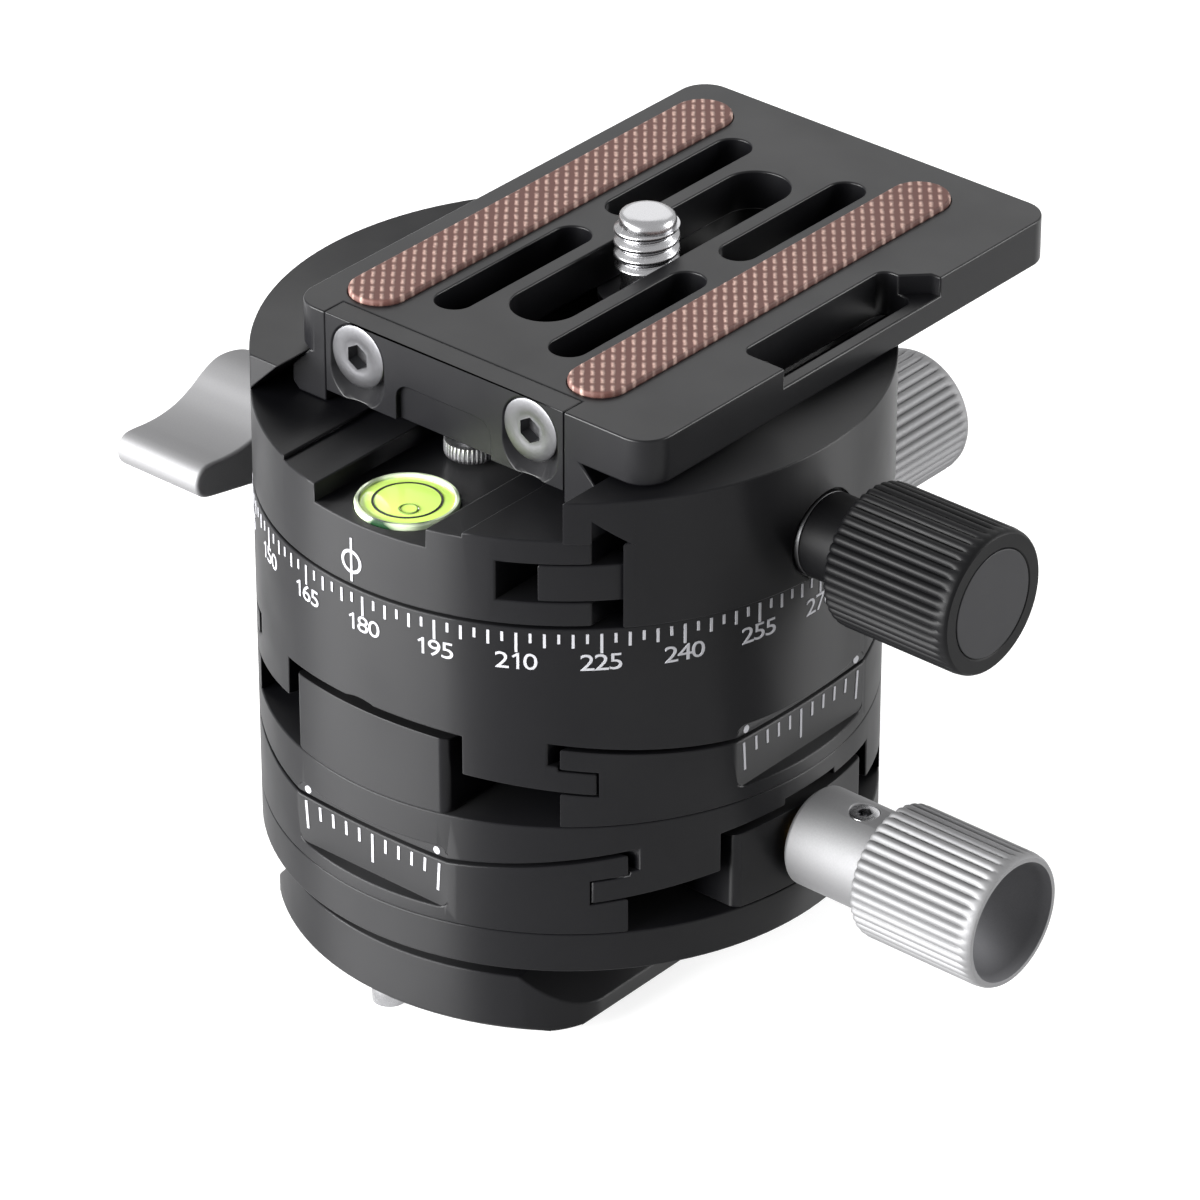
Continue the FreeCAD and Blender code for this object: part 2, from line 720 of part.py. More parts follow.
def worm_thread(helix, pitch):
    """Sweep the thread's tapered section along the helix, with its crest over zero on the top."""
    module = S.gear_module.value
    slope = math.tan(math.radians(20))
    middle = pitch / 4 - 0.05
    crest = middle - module * slope
    root_depth = S.worm_pitch_radius.value - S.worm_neck_radius.value + 0.15
    root = middle + root_depth * slope
    radius = S.worm_pitch_radius.value
    corners = [
        FreeCAD.Vector(radius - root_depth, 0, -root),
        FreeCAD.Vector(radius + module, 0, -crest),
        FreeCAD.Vector(radius + module, 0, crest),
        FreeCAD.Vector(radius - root_depth, 0, root),
    ]
    section = Part.makePolygon(corners + corners[:1])
    solid = Part.Wire(helix.Edges).makePipeShell([section], True, True)
    half = S.worm_half_length.value
    solid.translate(FreeCAD.Vector(0, 0, -half))
    # After the turn onto the X axis the piece's -X side faces up, so the crest is put there at zero
    phase = 180.0 + 360.0 * (half / pitch)
    solid.rotate(FreeCAD.Vector(0, 0, 0), Z_AXIS, -phase)
    trim = Part.makeCylinder(radius + 2 * module, 2 * half, FreeCAD.Vector(0, 0, -half))
    return solid.common(trim)


def make_rack(stage, label):
    """An arc of brass with straight-sided gaps, set at the lead angle of the worm."""
    name = stage.capitalize() + "Rack"
    tip_height = pivot - S.rack_radius - S.gear_module
    band = arc_band(name + "Band", tip_height, S.rack_back, -S.rack_half_width, S.rack_half_width)
    keep = box(name + "Keep", -rack_half_length, rack_half_length,
               -S.rack_half_width, S.rack_half_width, 0, OUTSIDE)
    blank = common(name + "Blank", band, keep)
    gaps = DOC.addObject("Part::Feature", name + "Gaps")
    gaps.Shape = rack_gaps()
    rack = cut(name, blank, gaps)
    return node(seated(rack, stage), label)


def rack_gaps():
    module = S.gear_module.value
    radius = S.rack_radius.value
    slope = math.tan(math.radians(20))
    middle = math.pi * module / 4 + S.tooth_backlash.value
    below = module + 0.6
    above = module * 1.25
    lead = math.degrees(math.atan(module / (2 * S.worm_pitch_radius.value)))
    step = math.degrees(module / radius) * math.pi
    reach = 2 * S.rack_half_width.value
    count = int(rack_half_length.value / (math.pi * module)) + 1
    corners = [
        FreeCAD.Vector(-middle - below * slope, -reach, -below),
        FreeCAD.Vector(middle + below * slope, -reach, -below),
        FreeCAD.Vector(middle - above * slope, -reach, above),
        FreeCAD.Vector(-middle + above * slope, -reach, above),
    ]
    face = Part.Face(Part.makePolygon(corners + corners[:1]))
    tool = face.extrude(FreeCAD.Vector(0, 2 * reach, 0))
    tool.rotate(FreeCAD.Vector(0, 0, 0), Z_AXIS, lead)
    tool.translate(FreeCAD.Vector(0, 0, pivot.value - radius))
    gaps = []
    for index in range(-count, count + 1):
        gap = tool.copy()
        gap.rotate(FreeCAD.Vector(0, 0, pivot.value), Y_AXIS, index * step)
        gaps.append(gap)
    return Part.makeCompound(gaps)


def fluted(body, name, radius, start, end):
    """Cut one pointed flute along the grip and repeat it round the knob."""
    wide = 1.5 * S.flute_half
    points = [
        (radius - S.flute_depth, 0),
        (radius + 0.5 * S.flute_depth, wide),
        (radius + 0.5 * S.flute_depth, -wide),
    ]
    sketch = outline(body, name + "Flute", "XY_Plane", points)
    sketch.AttachmentOffset = FreeCAD.Placement(FreeCAD.Vector(0, 0, value_of(start)), UPRIGHT)
    bind(sketch, "AttachmentOffset.Base.z", start)
    flute = body.newObject("PartDesign::Pocket", name + "FluteCut")
    flute.Profile = sketch
    flute.Reversed = True
    set_size(flute, "Length", end - start)
    ring = body.newObject("PartDesign::PolarPattern", name + "FluteRing")
    axis = [item for item in body.Origin.OriginFeatures if item.Role == "Z_Axis"][0]
    ring.Axis = (axis, [""])
    ring.Angle = 360.0
    ring.Occurrences = int(S.knob_flutes.value)
    ring.setExpression("Occurrences", S.knob_flutes.text)
    ring.Originals = [flute]
    body.Tip = ring


def dish(name):
    """The ball that hollows a knob's end, through the cup's rim and its bottom."""
    wide = S.knob_cup_radius.value
    deep = S.knob_cup_depth.value
    rule = "(Sizes.knob_cup_radius ^ 2 + Sizes.knob_cup_depth ^ 2) / (2 * Sizes.knob_cup_depth)"
    radius = Size((wide * wide + deep * deep) / (2 * deep), "(" + rule + ")")
    ball = DOC.addObject("Part::Sphere", name)
    set_size(ball, "Radius", radius)
    return place(ball, 0, 0, knob_end - S.knob_cup_depth + radius)


def make_stage_knob(stage):
    """Silver knob: smooth collar, fluted grip and a dished end, bored for the worm shaft."""
    name = stage.capitalize() + "Knob"
    body = new_body(name + "Body")
    collar = S.knob_collar_radius
    grip = S.knob_grip_radius
    bevel = S.knob_bevel
    bore_end = knob_end - S.knob_cup_depth - 1.5
    bore = S.shaft_radius + 0.01
    points = [
        (bore, knob_start),
        (collar - bevel, knob_start),
        (collar, knob_start + bevel),
        (collar, knob_grip_start),
        (grip - bevel, knob_grip_start),
        (grip, knob_grip_start + bevel),
        (grip, knob_end - bevel),
        (grip - bevel, knob_end),
        (0, knob_end),
        (0, bore_end + 0.05),
        (bore, bore_end + 0.05),
    ]
    revolved(body, name + "Turned", points)
    fluted(body, name, grip, knob_grip_start - 0.2, knob_end + 0.2)
    hole = cylinder(name + "GrubHole", S.grub_radius, 2.0 * S.knob_collar_radius, 0, 0, grub_place,
                    FreeCAD.Rotation(Y_AXIS, -90))
    knob = cut(name, body, hole, dish(name + "Dish"))
    grub = cylinder(name + "Grub", S.grub_radius - 0.01, collar - S.shaft_radius - 0.5,
                    -S.shaft_radius - 0.02, 0, grub_place, FreeCAD.Rotation(Y_AXIS, -90))
    socket = cylinder(name + "GrubSocket", 0.7, 2, -collar + 2.0, 0, grub_place,
                      FreeCAD.Rotation(Y_AXIS, -90))
    screw = cut(name + "GrubScrew", grub, socket)
    seat = lower_seat if stage == "lower" else upper_seat
    turn = FreeCAD.Rotation(Y_AXIS, 90)
    if stage == "upper":
        turn = FreeCAD.Rotation(Z_AXIS, 90).multiply(turn)
    for item, label in ((knob, stage + "_knob"), (screw, stage + "_knob_screw")):
        node(place(item, 0, 0, seat + S.worm_height, turn), label)


def make_drum():
    """The upper carriage is the scale drum: it also holds the pan bearing and the lock shaft."""
    bore = cylinder("DrumSpindleBore", S.spindle_radius + S.fit_gap, OUTSIDE, 0, 0,
                    spindle_base - S.part_gap - upper_seat)
    ring = cylinder("DrumRingOuter", ring_outer + 0.02, 5, 0, 0, S.drum_rise - S.ring_height)
    core = cylinder("DrumRingInner", S.ring_inner - 0.02, 7, 0, 0, S.drum_rise - S.ring_height - 1)
    groove = cut("DrumRingGroove", ring, core)
    rise = lever_height - upper_seat
    lock = cylinder("DrumLockBore", S.lock_shaft_radius + S.fit_gap, OUTSIDE, 0, 0, rise, ALONG_Y)
    make_carriage("upper", S.drum_rise, "scale_drum", (bore, groove, lock))


def make_pan_bearing():
    body = new_body("SpindleBody")
    radius = S.spindle_radius
    low = spindle_base
    deep = radius - S.spindle_groove
    points = [
        (S.pan_screw_radius - 0.01, low),
        (radius, low),
        (radius, lever_height - S.spindle_groove_half),
        (deep, lever_height - S.spindle_groove_half + S.spindle_groove),
        (deep, lever_height + S.spindle_groove_half - S.spindle_groove),
        (radius, lever_height + S.spindle_groove_half),
        (radius, clamp_base),
        (S.pan_screw_radius - 0.01, clamp_base),
    ]
    revolved(body, "SpindleTurned", points)
    node(body, "pan_spindle")
    outer = cylinder("PanRingOuter", ring_outer, S.ring_height + S.part_gap - 0.1, 0, 0,
                     drum_top - S.ring_height)
    inner = cylinder("PanRingInner", S.ring_inner, 5, 0, 0, drum_top - 3)
    node(cut("PanRing", outer, inner), "pan_ring")
    top = floor_level - S.mid_floor_depth - 0.1
    head = cylinder("PanScrewHead", S.pan_screw_head, S.pan_screw_head_height, 0, 0,
                    top - S.pan_screw_head_height)
    shank = cylinder("PanScrewShank", S.pan_screw_radius - 0.02, S.pan_screw_length, 0, 0,
                     top - S.pan_screw_length)
    node(fuse("PanScrew", head, shank), "pan_screw")


def make_lever():
    """Lock lever: a round hub that runs out in an S-curved paddle, a constant section along X."""
    axis = lever_height.value
    hub = S.lever_hub_radius.value
    reach = S.lever_reach.value
    tip = S.lever_tip.value
    tip_low = axis - S.lever_tip_drop.value
    tip_high = tip_low + tip

    def at(y, z):
        return FreeCAD.Vector(0, y, z)

    crown = at(-0.45 * hub, axis + 0.89 * hub)
    waist = at(-0.62 * reach, tip_high + 0.15)
    under = at(-0.25 * hub, axis - 0.968 * hub)
    edges = [
        Part.Arc(at(0, axis + hub), at(0.707 * hub, axis + 0.707 * hub), at(hub, axis)).toShape(),
        Part.Arc(at(hub, axis), at(0.707 * hub, axis - 0.707 * hub), under).toShape(),
        Part.makeLine(under, at(-reach + 0.4, tip_low)),
        Part.Arc(at(-reach + 0.4, tip_low), at(-reach, tip_low + tip / 2),
                 at(-reach + 1.2, tip_high)).toShape(),
        Part.Arc(at(-reach + 1.2, tip_high), at(-0.78 * reach, tip_high - 0.15), waist).toShape(),
        lever_back(waist, crown),
        Part.Arc(crown, at(-0.2 * hub, axis + 0.99 * hub), at(0, axis + hub)).toShape(),
    ]
    face = Part.Face(Part.Wire(Part.__sortEdges__(edges)))
    width = S.lever_width.value
    solid = face.extrude(FreeCAD.Vector(-width, 0, 0))
    bore = Part.makeCylinder(S.lock_shaft_radius.value + 0.01, width + 2, at(0, axis) + X_AXIS, -X_AXIS)
    solid = solid.cut(bore)
    lever = DOC.addObject("Part::Feature", "LockLever")
    lever.Shape = solid
    place(lever, -lever_start, 0, 0)
    node(lever, "lock_lever")
    length = lever_start + S.lever_width - S.spindle_radius
    shaft = cylinder("LockShaftBar", S.lock_shaft_radius, length - 1.5, -lever_start - S.lever_width + 0.4,
                     0, lever_height, ALONG_X)
    tip_pin = cylinder("LockShaftTip", S.lock_tip_radius, length, -lever_start - S.lever_width + 0.4,
                       0, lever_height, ALONG_X)
    collar = cylinder("LockShaftCollar", S.lock_collar_radius, lever_start - S.body_radius - S.part_gap,
                      -lever_start, 0, lever_height, ALONG_X)
    node(fuse("LockShaft", shaft, tip_pin, collar), "lock_shaft")


def lever_back(waist, crown):
    curve = Part.BSplineCurve()
    rise = crown - waist
    near = waist + FreeCAD.Vector(0, rise.y * 0.42, rise.z * 0.20)
    far = waist + FreeCAD.Vector(0, rise.y * 0.68, rise.z * 0.72)
    curve.interpolate([waist, near, far, crown])
    return curve.toShape()


def undercut(name, side, lip, level, reach):
    """Everything between a jaw's 45 degree face and the far side, as one extruded piece."""
    body = new_body(name)
    depth = S.jaw_rise - S.floor_rise
    points = [
        (side * lip, level + depth),
        (side * (lip + depth), level),
        (side * reach, level),
        (side * reach, level + depth),
    ]
    sketch = outline(body, name + "Profile", "XZ_Plane", points)
    pad = body.newObject("PartDesign::Pad", name + "Pad")
    pad.Profile = sketch
    pad.Length = 2 * OUTSIDE
    pad.Midplane = True
    return body


def make_clamp_body():
    base = cylinder("ClampBase", S.body_radius, S.floor_rise, 0, 0, clamp_base)
    wall = box("ClampWall", body_wall, OUTSIDE, -OUTSIDE, OUTSIDE, clamp_base - 1, floor_level + 1)
    lower = cut("ClampLower", base, wall)
    jaw = undercut("FixedJawShape", -1, S.lip_place, floor_level, S.body_radius + 5)
    drum = cylinder("FixedJawDrum", S.body_radius, S.jaw_rise, 0, 0, clamp_base)
    front = box("FixedJawFront", -OUTSIDE, 0, -S.fixed_jaw_front, OUTSIDE, clamp_base, jaw_top + 1)
    upper = common("FixedJaw", jaw, drum, front)
    whole = fuse("ClampWhole", lower, upper)
    mid = box("ClampMidFloor", -S.mid_floor_half, S.mid_floor_half + 0.3, -OUTSIDE, OUTSIDE,
              floor_level - S.mid_floor_depth, floor_level + 1)
    pocket = box("ClampPocket", -S.pocket_left, S.pocket_right, -OUTSIDE, -S.pocket_back,
                 clamp_base + S.pocket_rise, floor_level + 1)
    level = cylinder("ClampLevelHole", S.level_radius + 0.02, S.level_depth, S.level_x, -S.level_y,
                     clamp_base + S.pocket_rise + S.level_proud - S.level_depth)
    tools = [mid, pocket, level]
    for name, y0, y1 in (("Front", -OUTSIDE, -S.tongue_inner + 0.2), ("Back", S.tongue_inner - 0.2, OUTSIDE)):
        tools.append(box("ClampSlot" + name, S.tongue_slot_end, OUTSIDE, y0, y1,
                         clamp_base + S.tongue_low, clamp_base + S.tongue_high))
    tools.append(cylinder("ClampScrewBore", S.clamp_screw_radius + S.fit_gap, OUTSIDE,
                          S.clamp_screw_end - S.jaw_open - 1, 0, clamp_axis, ALONG_X))
    screw_top = floor_level - S.mid_floor_depth
    tools.append(cylinder("ClampPanHead", S.pan_screw_head + 0.05, S.pan_screw_head_height + 1.1, 0, 0,
                          screw_top - S.pan_screw_head_height - 0.1))
    tools.append(cylinder("ClampPanShank", S.pan_screw_radius, OUTSIDE, 0, 0, clamp_base - 1))
    node(cut("ClampBody", whole, *tools), "clamp_body")


def make_moving_jaw():
    """Drawn 2.2 mm open, as photographed: its drum face stands 1.1 mm out of line."""
    low = clamp_base + 0.1
    drum = cylinder("JawDrum", S.body_radius, S.jaw_rise - 0.1, S.jaw_shift, 0, low)
    wall_x = body_wall + S.jaw_open + S.jaw_wall_gap
    wall = box("JawWall", wall_x, OUTSIDE, -OUTSIDE, OUTSIDE, low, floor_level + 0.01)
    lip_x = S.lip_place + S.jaw_open + 0.1
    lip = undercut("JawLip", 1, lip_x, floor_level, S.body_radius + 5)
    end = box("JawEnd", lip_x, OUTSIDE, -OUTSIDE, -S.jaw_end, floor_level, jaw_top)
    block = fuse("JawBlock", wall, lip, end)
    tongues = []
    for name, y0, y1 in (("Front", -OUTSIDE, -S.tongue_inner), ("Back", S.tongue_inner, OUTSIDE)):
        bar = box("JawTongue" + name, S.tongue_end, wall_x + 1, y0, y1,
                  clamp_base + S.tongue_low + 0.1, clamp_base + S.tongue_high - 0.1)
        trim = cylinder("JawTongueTrim" + name, S.body_radius - 0.05, OUTSIDE, 0, 0, clamp_base)
        tongues.append(common("JawTongueEnd" + name, bar, trim))
    outer = common("JawOuter", block, drum)
    whole = fuse("JawWhole", outer, *tongues)
    bore = cylinder("JawBore", S.clamp_screw_radius + 0.3, OUTSIDE, 10, 0, clamp_axis, ALONG_X)
    face = cylinder("JawFace", S.washer_radius + 0.2, OUTSIDE, jaw_face, 0, clamp_axis, ALONG_X)
    node(cut("MovingJaw", whole, bore, face), "moving_jaw")


def make_clamp_knob():
    washer = cylinder("ClampWasherDisc", S.washer_radius, S.washer_height, jaw_face, 0, clamp_axis, ALONG_X)
    hole = cylinder("ClampWasherHole", S.clamp_screw_radius + 0.3, 5, jaw_face - 1, 0, clamp_axis, ALONG_X)
    node(cut("ClampWasher", washer, hole), "clamp_washer")
    body = new_body("ClampKnobBody")
    start = jaw_face + S.washer_height
    bevel = S.knob_bevel
    grip = S.clamp_grip_radius
    points = [
        (S.clamp_screw_radius, start),
        (S.clamp_head_radius, start),
        (S.clamp_head_radius, grip_start),
        (grip - bevel, grip_start),
        (grip, grip_start + bevel),
        (grip, grip_end - bevel),
        (grip - bevel, grip_end),
        (S.cap_radius + 0.02, grip_end),
        (S.cap_radius + 0.02, grip_end - S.cap_height),
        (S.clamp_screw_radius, grip_end - S.cap_height),
    ]
    revolved(body, "ClampKnobTurned", points)
    fluted(body, "ClampKnob", grip, grip_start - 0.2, grip_end + 0.2)
    node(place(body, 0, 0, clamp_axis, ALONG_X), "clamp_knob")
    cap = cylinder("ClampKnobCapDisc", S.cap_radius, S.cap_height, grip_end - S.cap_height, 0,
                   clamp_axis, ALONG_X)
    node(cap, "clamp_knob_cap")
    screw = cylinder("ClampScrewBar", S.clamp_screw_radius - 0.01,
                     grip_end - S.cap_height - S.clamp_screw_end, S.clamp_screw_end, 0, clamp_axis, ALONG_X)
    node(screw, "clamp_screw")


def make_level():
    low = clamp_base + S.pocket_rise + S.level_proud - S.level_depth
    cup = cylinder("LevelCup", S.level_radius, S.level_depth, S.level_x, -S.level_y, low)
    well = cylinder("LevelWell", S.vial_radius + 0.02, S.level_depth, S.level_x, -S.level_y, low + 0.8)
    node(cut("LevelRing", cup, well), "level_ring")
    vial = cylinder("LevelVial", S.vial_radius, S.level_depth - 0.9, S.level_x, -S.level_y, low + 0.8)
    node(vial, "level_vial")


def stadium(name, x, y0, y1, width, z0, z1):
    half = width / 2.0
    bar = box(name + "Bar", x - half, x + half, y0 + half, y1 - half, z0, z1)
    start = cylinder(name + "Start", half, z1 - z0, x, y0 + half, z0)
    end = cylinder(name + "End", half, z1 - z0, x, y1 - half, z0)
    return fuse(name, bar, start, end)


def make_plate():
    """Camera plate: wide flange, 38 mm dovetail, six screw slots and a strap slot."""
    y0 = S.plate_y - S.plate_length / 2.0
    y1 = S.plate_y + S.plate_length / 2.0
    left = S.plate_x - S.plate_left
    flange = box("PlateFlange", left, S.plate_right, y0, y1, flange_base, plate_top)
    body = new_body("PlateDovetail")
    tip = S.dovetail_tip_half
    edge = S.dovetail_chamfer
    lip_clear = S.lip_place - S.fit_gap
    tip_level = jaw_top - (tip - lip_clear)
    neck = lip_clear - (flange_base - jaw_top)
    half_points = [
        (tip - edge, plate_base),
        (tip, plate_base + edge),
        (tip, tip_level),
        (neck, flange_base),
    ]
    points = [(S.plate_x + a, b) for a, b in half_points]
    points += [(S.plate_x - a, b) for a, b in reversed(half_points)]
    sketch = outline(body, "PlateDovetailProfile", "XZ_Plane", points)
    pad = body.newObject("PartDesign::Pad", "PlateDovetailPad")
    pad.Profile = sketch
    set_size(pad, "Length", S.plate_length)
    pad.Midplane = True
    place(body, 0, S.plate_y, 0)
    whole = fuse("PlateWhole", rounded("PlateCorners", flange, S.plate_corner), body)
    tools = plate_slots(y0)
    tools += plate_recesses()
    node(cut("CameraPlate", whole, *tools), "camera_plate")


def plate_slots(y0):
    low = plate_base - 1
    high = plate_top + 1
    tools = []
    for side, name in ((-1, "Left"), (1, "Right")):
        x = S.plate_x + side * S.slot_spacing
        tools.append(stadium("PlateFrontSlot" + name, x, -S.front_slot_start, S.front_slot_end,
                             S.slot_width, low, high))
        tools.append(stadium("PlateBackSlot" + name, x, S.back_slot_start, S.back_slot_end,
                             S.slot_width, low, high))
    tools.append(stadium("PlateScrewSlot", S.plate_x, -S.screw_slot_start, S.screw_slot_end,
                         S.screw_slot_width, low, high))
    step = (S.counterbore_width - S.screw_slot_width) / 2.0
    tools.append(stadium("PlateCounterbore", S.plate_x, -S.screw_slot_start - step,
                         S.screw_slot_end + step, S.counterbore_width, low, plate_base + S.counterbore_top))
    tools += strap_slot(low, high)
    notch = S.stopper_half + 0.05
    tools.append(box("PlateNotch", S.plate_x - notch, S.plate_x + notch, y0 - 1,
                     y0 + S.stopper_thickness + S.fit_gap, low, high))
    return tools


def strap_slot(low, high):
    """A slot through the wide side of the plate, with a lowered bar outside it."""
    hole = box("PlateStrapHole", S.strap_inner, S.strap_outer, S.strap_start, S.strap_end, low, high)
    body = new_body("PlateStrapBar")
    slant = S.strap_bar_end - S.strap_end
    points = [
        (S.strap_outer - 0.5, S.strap_start),
        (OUTSIDE, S.strap_start),
        (OUTSIDE, S.strap_bar_end),
        (S.strap_outer + 0.3, S.strap_bar_end),
        (S.strap_outer + 0.3 - slant, S.strap_end),
        (S.strap_outer - 0.5, S.strap_end - 1.0),
    ]
    sketch = outline(body, "PlateStrapBarProfile", "XY_Plane", points)
    pad = body.newObject("PartDesign::Pad", "PlateStrapBarPad")
    pad.Profile = sketch
    set_size(pad, "Length", S.strap_bar_drop + 1.0)
    place(body, 0, 0, plate_top - S.strap_bar_drop)
    return [rounded("PlateStrapSlot", hole, S.strap_corner), body]


def plate_recesses():
    tools = []
    y0 = S.plate_y - strip_length / 2.0
    y1 = S.plate_y + strip_length / 2.0
    for side, name in ((-1, "Left"), (1, "Right")):
        x = S.plate_x + side * S.strip_place
        tools.append(stadium("PlateStrip" + name, x, y0, y1, S.strip_width + 0.04,
                             plate_top - S.strip_recess, plate_top + 1))
        y = S.plate_y + side * safety_place
        tools.append(cylinder("PlateSafetyHole" + name, S.safety_shank, S.flange_height + 1.3, S.plate_x, y,
                              plate_base - 1))
        tools.append(cylinder("PlateSafetySink" + name, S.safety_radius + 0.4, 2.0, S.plate_x, y,
                              plate_base - 1))
        screw_y = S.plate_y - S.plate_length / 2.0
        screw_x = S.plate_x + side * S.stopper_screw_place
        tools.append(cylinder("PlateStopperHole" + name, S.stopper_shank_radius, 9, screw_x, screw_y,
                              plate_top - S.stopper_screw_drop, ALONG_Y))
    return tools


def make_plate_fittings():
    y0 = S.plate_y - strip_length / 2.0
    y1 = S.plate_y + strip_length / 2.0
    low = plate_top - S.strip_recess
    for side, name in ((-1, "Left"), (1, "Right")):
        x = S.plate_x + side * S.strip_place
        strip = stadium("Strip" + name, x, y0, y1, S.strip_width, low, low + S.strip_height)
        node(strip, "rubber_strip_" + name.lower())
    screws = []
    for side, name in ((-1, "Front"), (1, "Back")):
        y = S.plate_y + side * safety_place
        top = plate_base + 1.0
        head = cylinder("SafetyHead" + name, S.safety_radius, S.safety_drop + 1.0, S.plate_x, y,
                        top - S.safety_drop - 1.0)
        shank = cylinder("SafetyShank" + name, S.safety_shank - 0.01, 4.0, S.plate_x, y, top - 0.5)
        screws.append(fuse("SafetyScrew" + name, head, shank))
    node(fuse("SafetyScrews", *screws), "plate_safety_screws")


def make_stopper():
    y0 = S.plate_y - S.plate_length / 2.0
    low = plate_top - S.stopper_height
    slab = box("StopperSlab", S.plate_x - S.stopper_half, S.plate_x + S.stopper_half, y0,
               y0 + S.stopper_thickness, low, plate_top)
    recess = box("StopperRecessBox", S.plate_x - S.stopper_recess_half, S.plate_x + S.stopper_recess_half,
                 y0 - 1, y0 + S.stopper_recess_depth, low - 3, plate_top - S.stopper_recess_drop)
    tools = [rounded("StopperRecess", recess, S.stopper_recess_corner, Y_AXIS)]
    heads = []
    for side, name in ((-1, "Left"), (1, "Right")):
        x = S.plate_x + side * S.stopper_screw_place
        z = plate_top - S.stopper_screw_drop
        tools += countersunk_slot("StopperSlot" + name, x, y0, z)
        heads.append(countersunk_screw("StopperScrew" + name, x, y0, z))
    node(cut("Stopper", slab, *tools), "stopper")
    node(fuse("StopperScrews", *heads), "stopper_screws")


def countersunk_slot(name, x, y0, z):
    """A slot as long as the stopper's travel, with a cone at each end and a wedge between."""
    head = S.stopper_head_radius + 0.15
    shank = S.stopper_shank_radius + 0.15
    depth = head - shank
    shapes = []
    for index, drop in enumerate((0, S.stopper_travel)):
        place_z = z - drop
        shapes.append(cone("%sCone%d" % (name, index), head, shank, depth, x, y0, place_z, ALONG_Y))
        shapes.append(cylinder("%sBore%d" % (name, index), shank, S.stopper_thickness + 1, x, y0,
                               place_z, ALONG_Y))
    shapes.append(box(name + "Bar", x - shank, x + shank, y0 - 0.5, y0 + S.stopper_thickness + 1,
                      z - S.stopper_travel, z))
    body = new_body(name + "Wedge")
    points = [
        (x - head, y0),
        (x + head, y0),
        (x + shank, y0 + depth),
        (x - shank, y0 + depth),
    ]
    sketch = outline(body, name + "WedgeProfile", "XY_Plane", points)
    pad = body.newObject("PartDesign::Pad", name + "WedgePad")
    pad.Profile = sketch
    set_size(pad, "Length", S.stopper_travel)
    place(body, 0, 0, z - S.stopper_travel)
    shapes.append(body)
    return shapes


def countersunk_screw(name, x, y0, z):
    head = S.stopper_head_radius
    shank = S.stopper_shank_radius - 0.01
    cap = cone(name + "Head", head, shank, head - shank, x, y0 + 0.03, z, ALONG_Y)
    bar = cylinder(name + "Bar", shank, 8, x, y0 + 0.5, z, ALONG_Y)
    socket = cylinder(name + "Socket", 1.15, 1.2, x, y0, z, ALONG_Y)
    return cut(name, fuse(name + "Blank", cap, bar), socket)


def make_camera_screw():
    """The screw hangs in a washer that slides in the counterbore under the middle slot."""
    ledge = plate_base + S.counterbore_top
    washer_low = ledge - S.camera_washer_height - 0.1
    outer = cylinder("CameraWasherDisc", S.camera_head_radius, S.camera_washer_height, S.plate_x,
                     S.camera_screw_y, washer_low)
    hole = cylinder("CameraWasherHole", S.camera_neck_radius + S.fit_gap, 5, S.plate_x,
                    S.camera_screw_y, washer_low - 1)
    node(cut("CameraWasher", outer, hole), "camera_screw_washer")
    head_top = washer_low - 0.05
    head = cylinder("CameraHead", S.camera_head_radius - 0.1, S.camera_head_height, S.plate_x,
                    S.camera_screw_y, head_top - S.camera_head_height)
    neck = cylinder("CameraNeck", S.camera_neck_radius, plate_top - head_top + 2, S.plate_x,
                    S.camera_screw_y, head_top - 1)
    bar = cylinder("CameraBar", S.camera_screw_radius, S.camera_screw_rise, S.plate_x, S.camera_screw_y,
                   plate_top)
    socket = box("CameraSocket", S.plate_x - OUTSIDE, S.plate_x + OUTSIDE, S.camera_screw_y - 0.6,
                 S.camera_screw_y + 0.6, head_top - S.camera_head_height - 1,
                 head_top - S.camera_head_height + 1.0)
    node(cut("CameraScrew", fuse("CameraScrewBlank", head, neck, bar), socket), "camera_screw")


def build():
    make_foot()
    make_foot_fittings()
    make_base_disc()
    for stage in ("lower", "upper"):
        make_rail(stage, -1)
        make_rail(stage, 1)
        make_housing(stage)
        make_worm(stage)
        make_rack(stage, stage + "_rack")
        make_stage_knob(stage)
    make_carriage("lower", S.stage_rise, "lower_carriage")
    make_drum()
    make_pan_bearing()
    make_lever()
    make_clamp_body()
    make_moving_jaw()
    make_clamp_knob()
    make_level()
    make_plate()
    make_plate_fittings()
    make_stopper()
    make_camera_screw()
    DOC.recompute()


def check():
    for item in DOC.Objects:
        if "Invalid" in item.State or "Error" in item.State:
            raise RuntimeError("%s did not build: %s" % (item.Name, item.State))
    for item in NODES:
        shape = item.Shape
        if shape.isNull() or not shape.isValid() or not shape.Solids:
            raise RuntimeError("%s has no valid solid" % item.Label)


def write():
    os.makedirs("parts", exist_ok=True)
    for item in NODES:
        item.Shape.exportStep(os.path.join("parts", item.Label + ".step"))
        solids = len(item.Shape.Solids)
        print("%-24s solids %d volume %10.2f" % (item.Label, solids, item.Shape.Volume))


build()
check()
write()
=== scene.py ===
import json
import math
import bmesh
import bpy
from bmesh.types import BMEdge, BMVert
from mathutils import Matrix, Vector


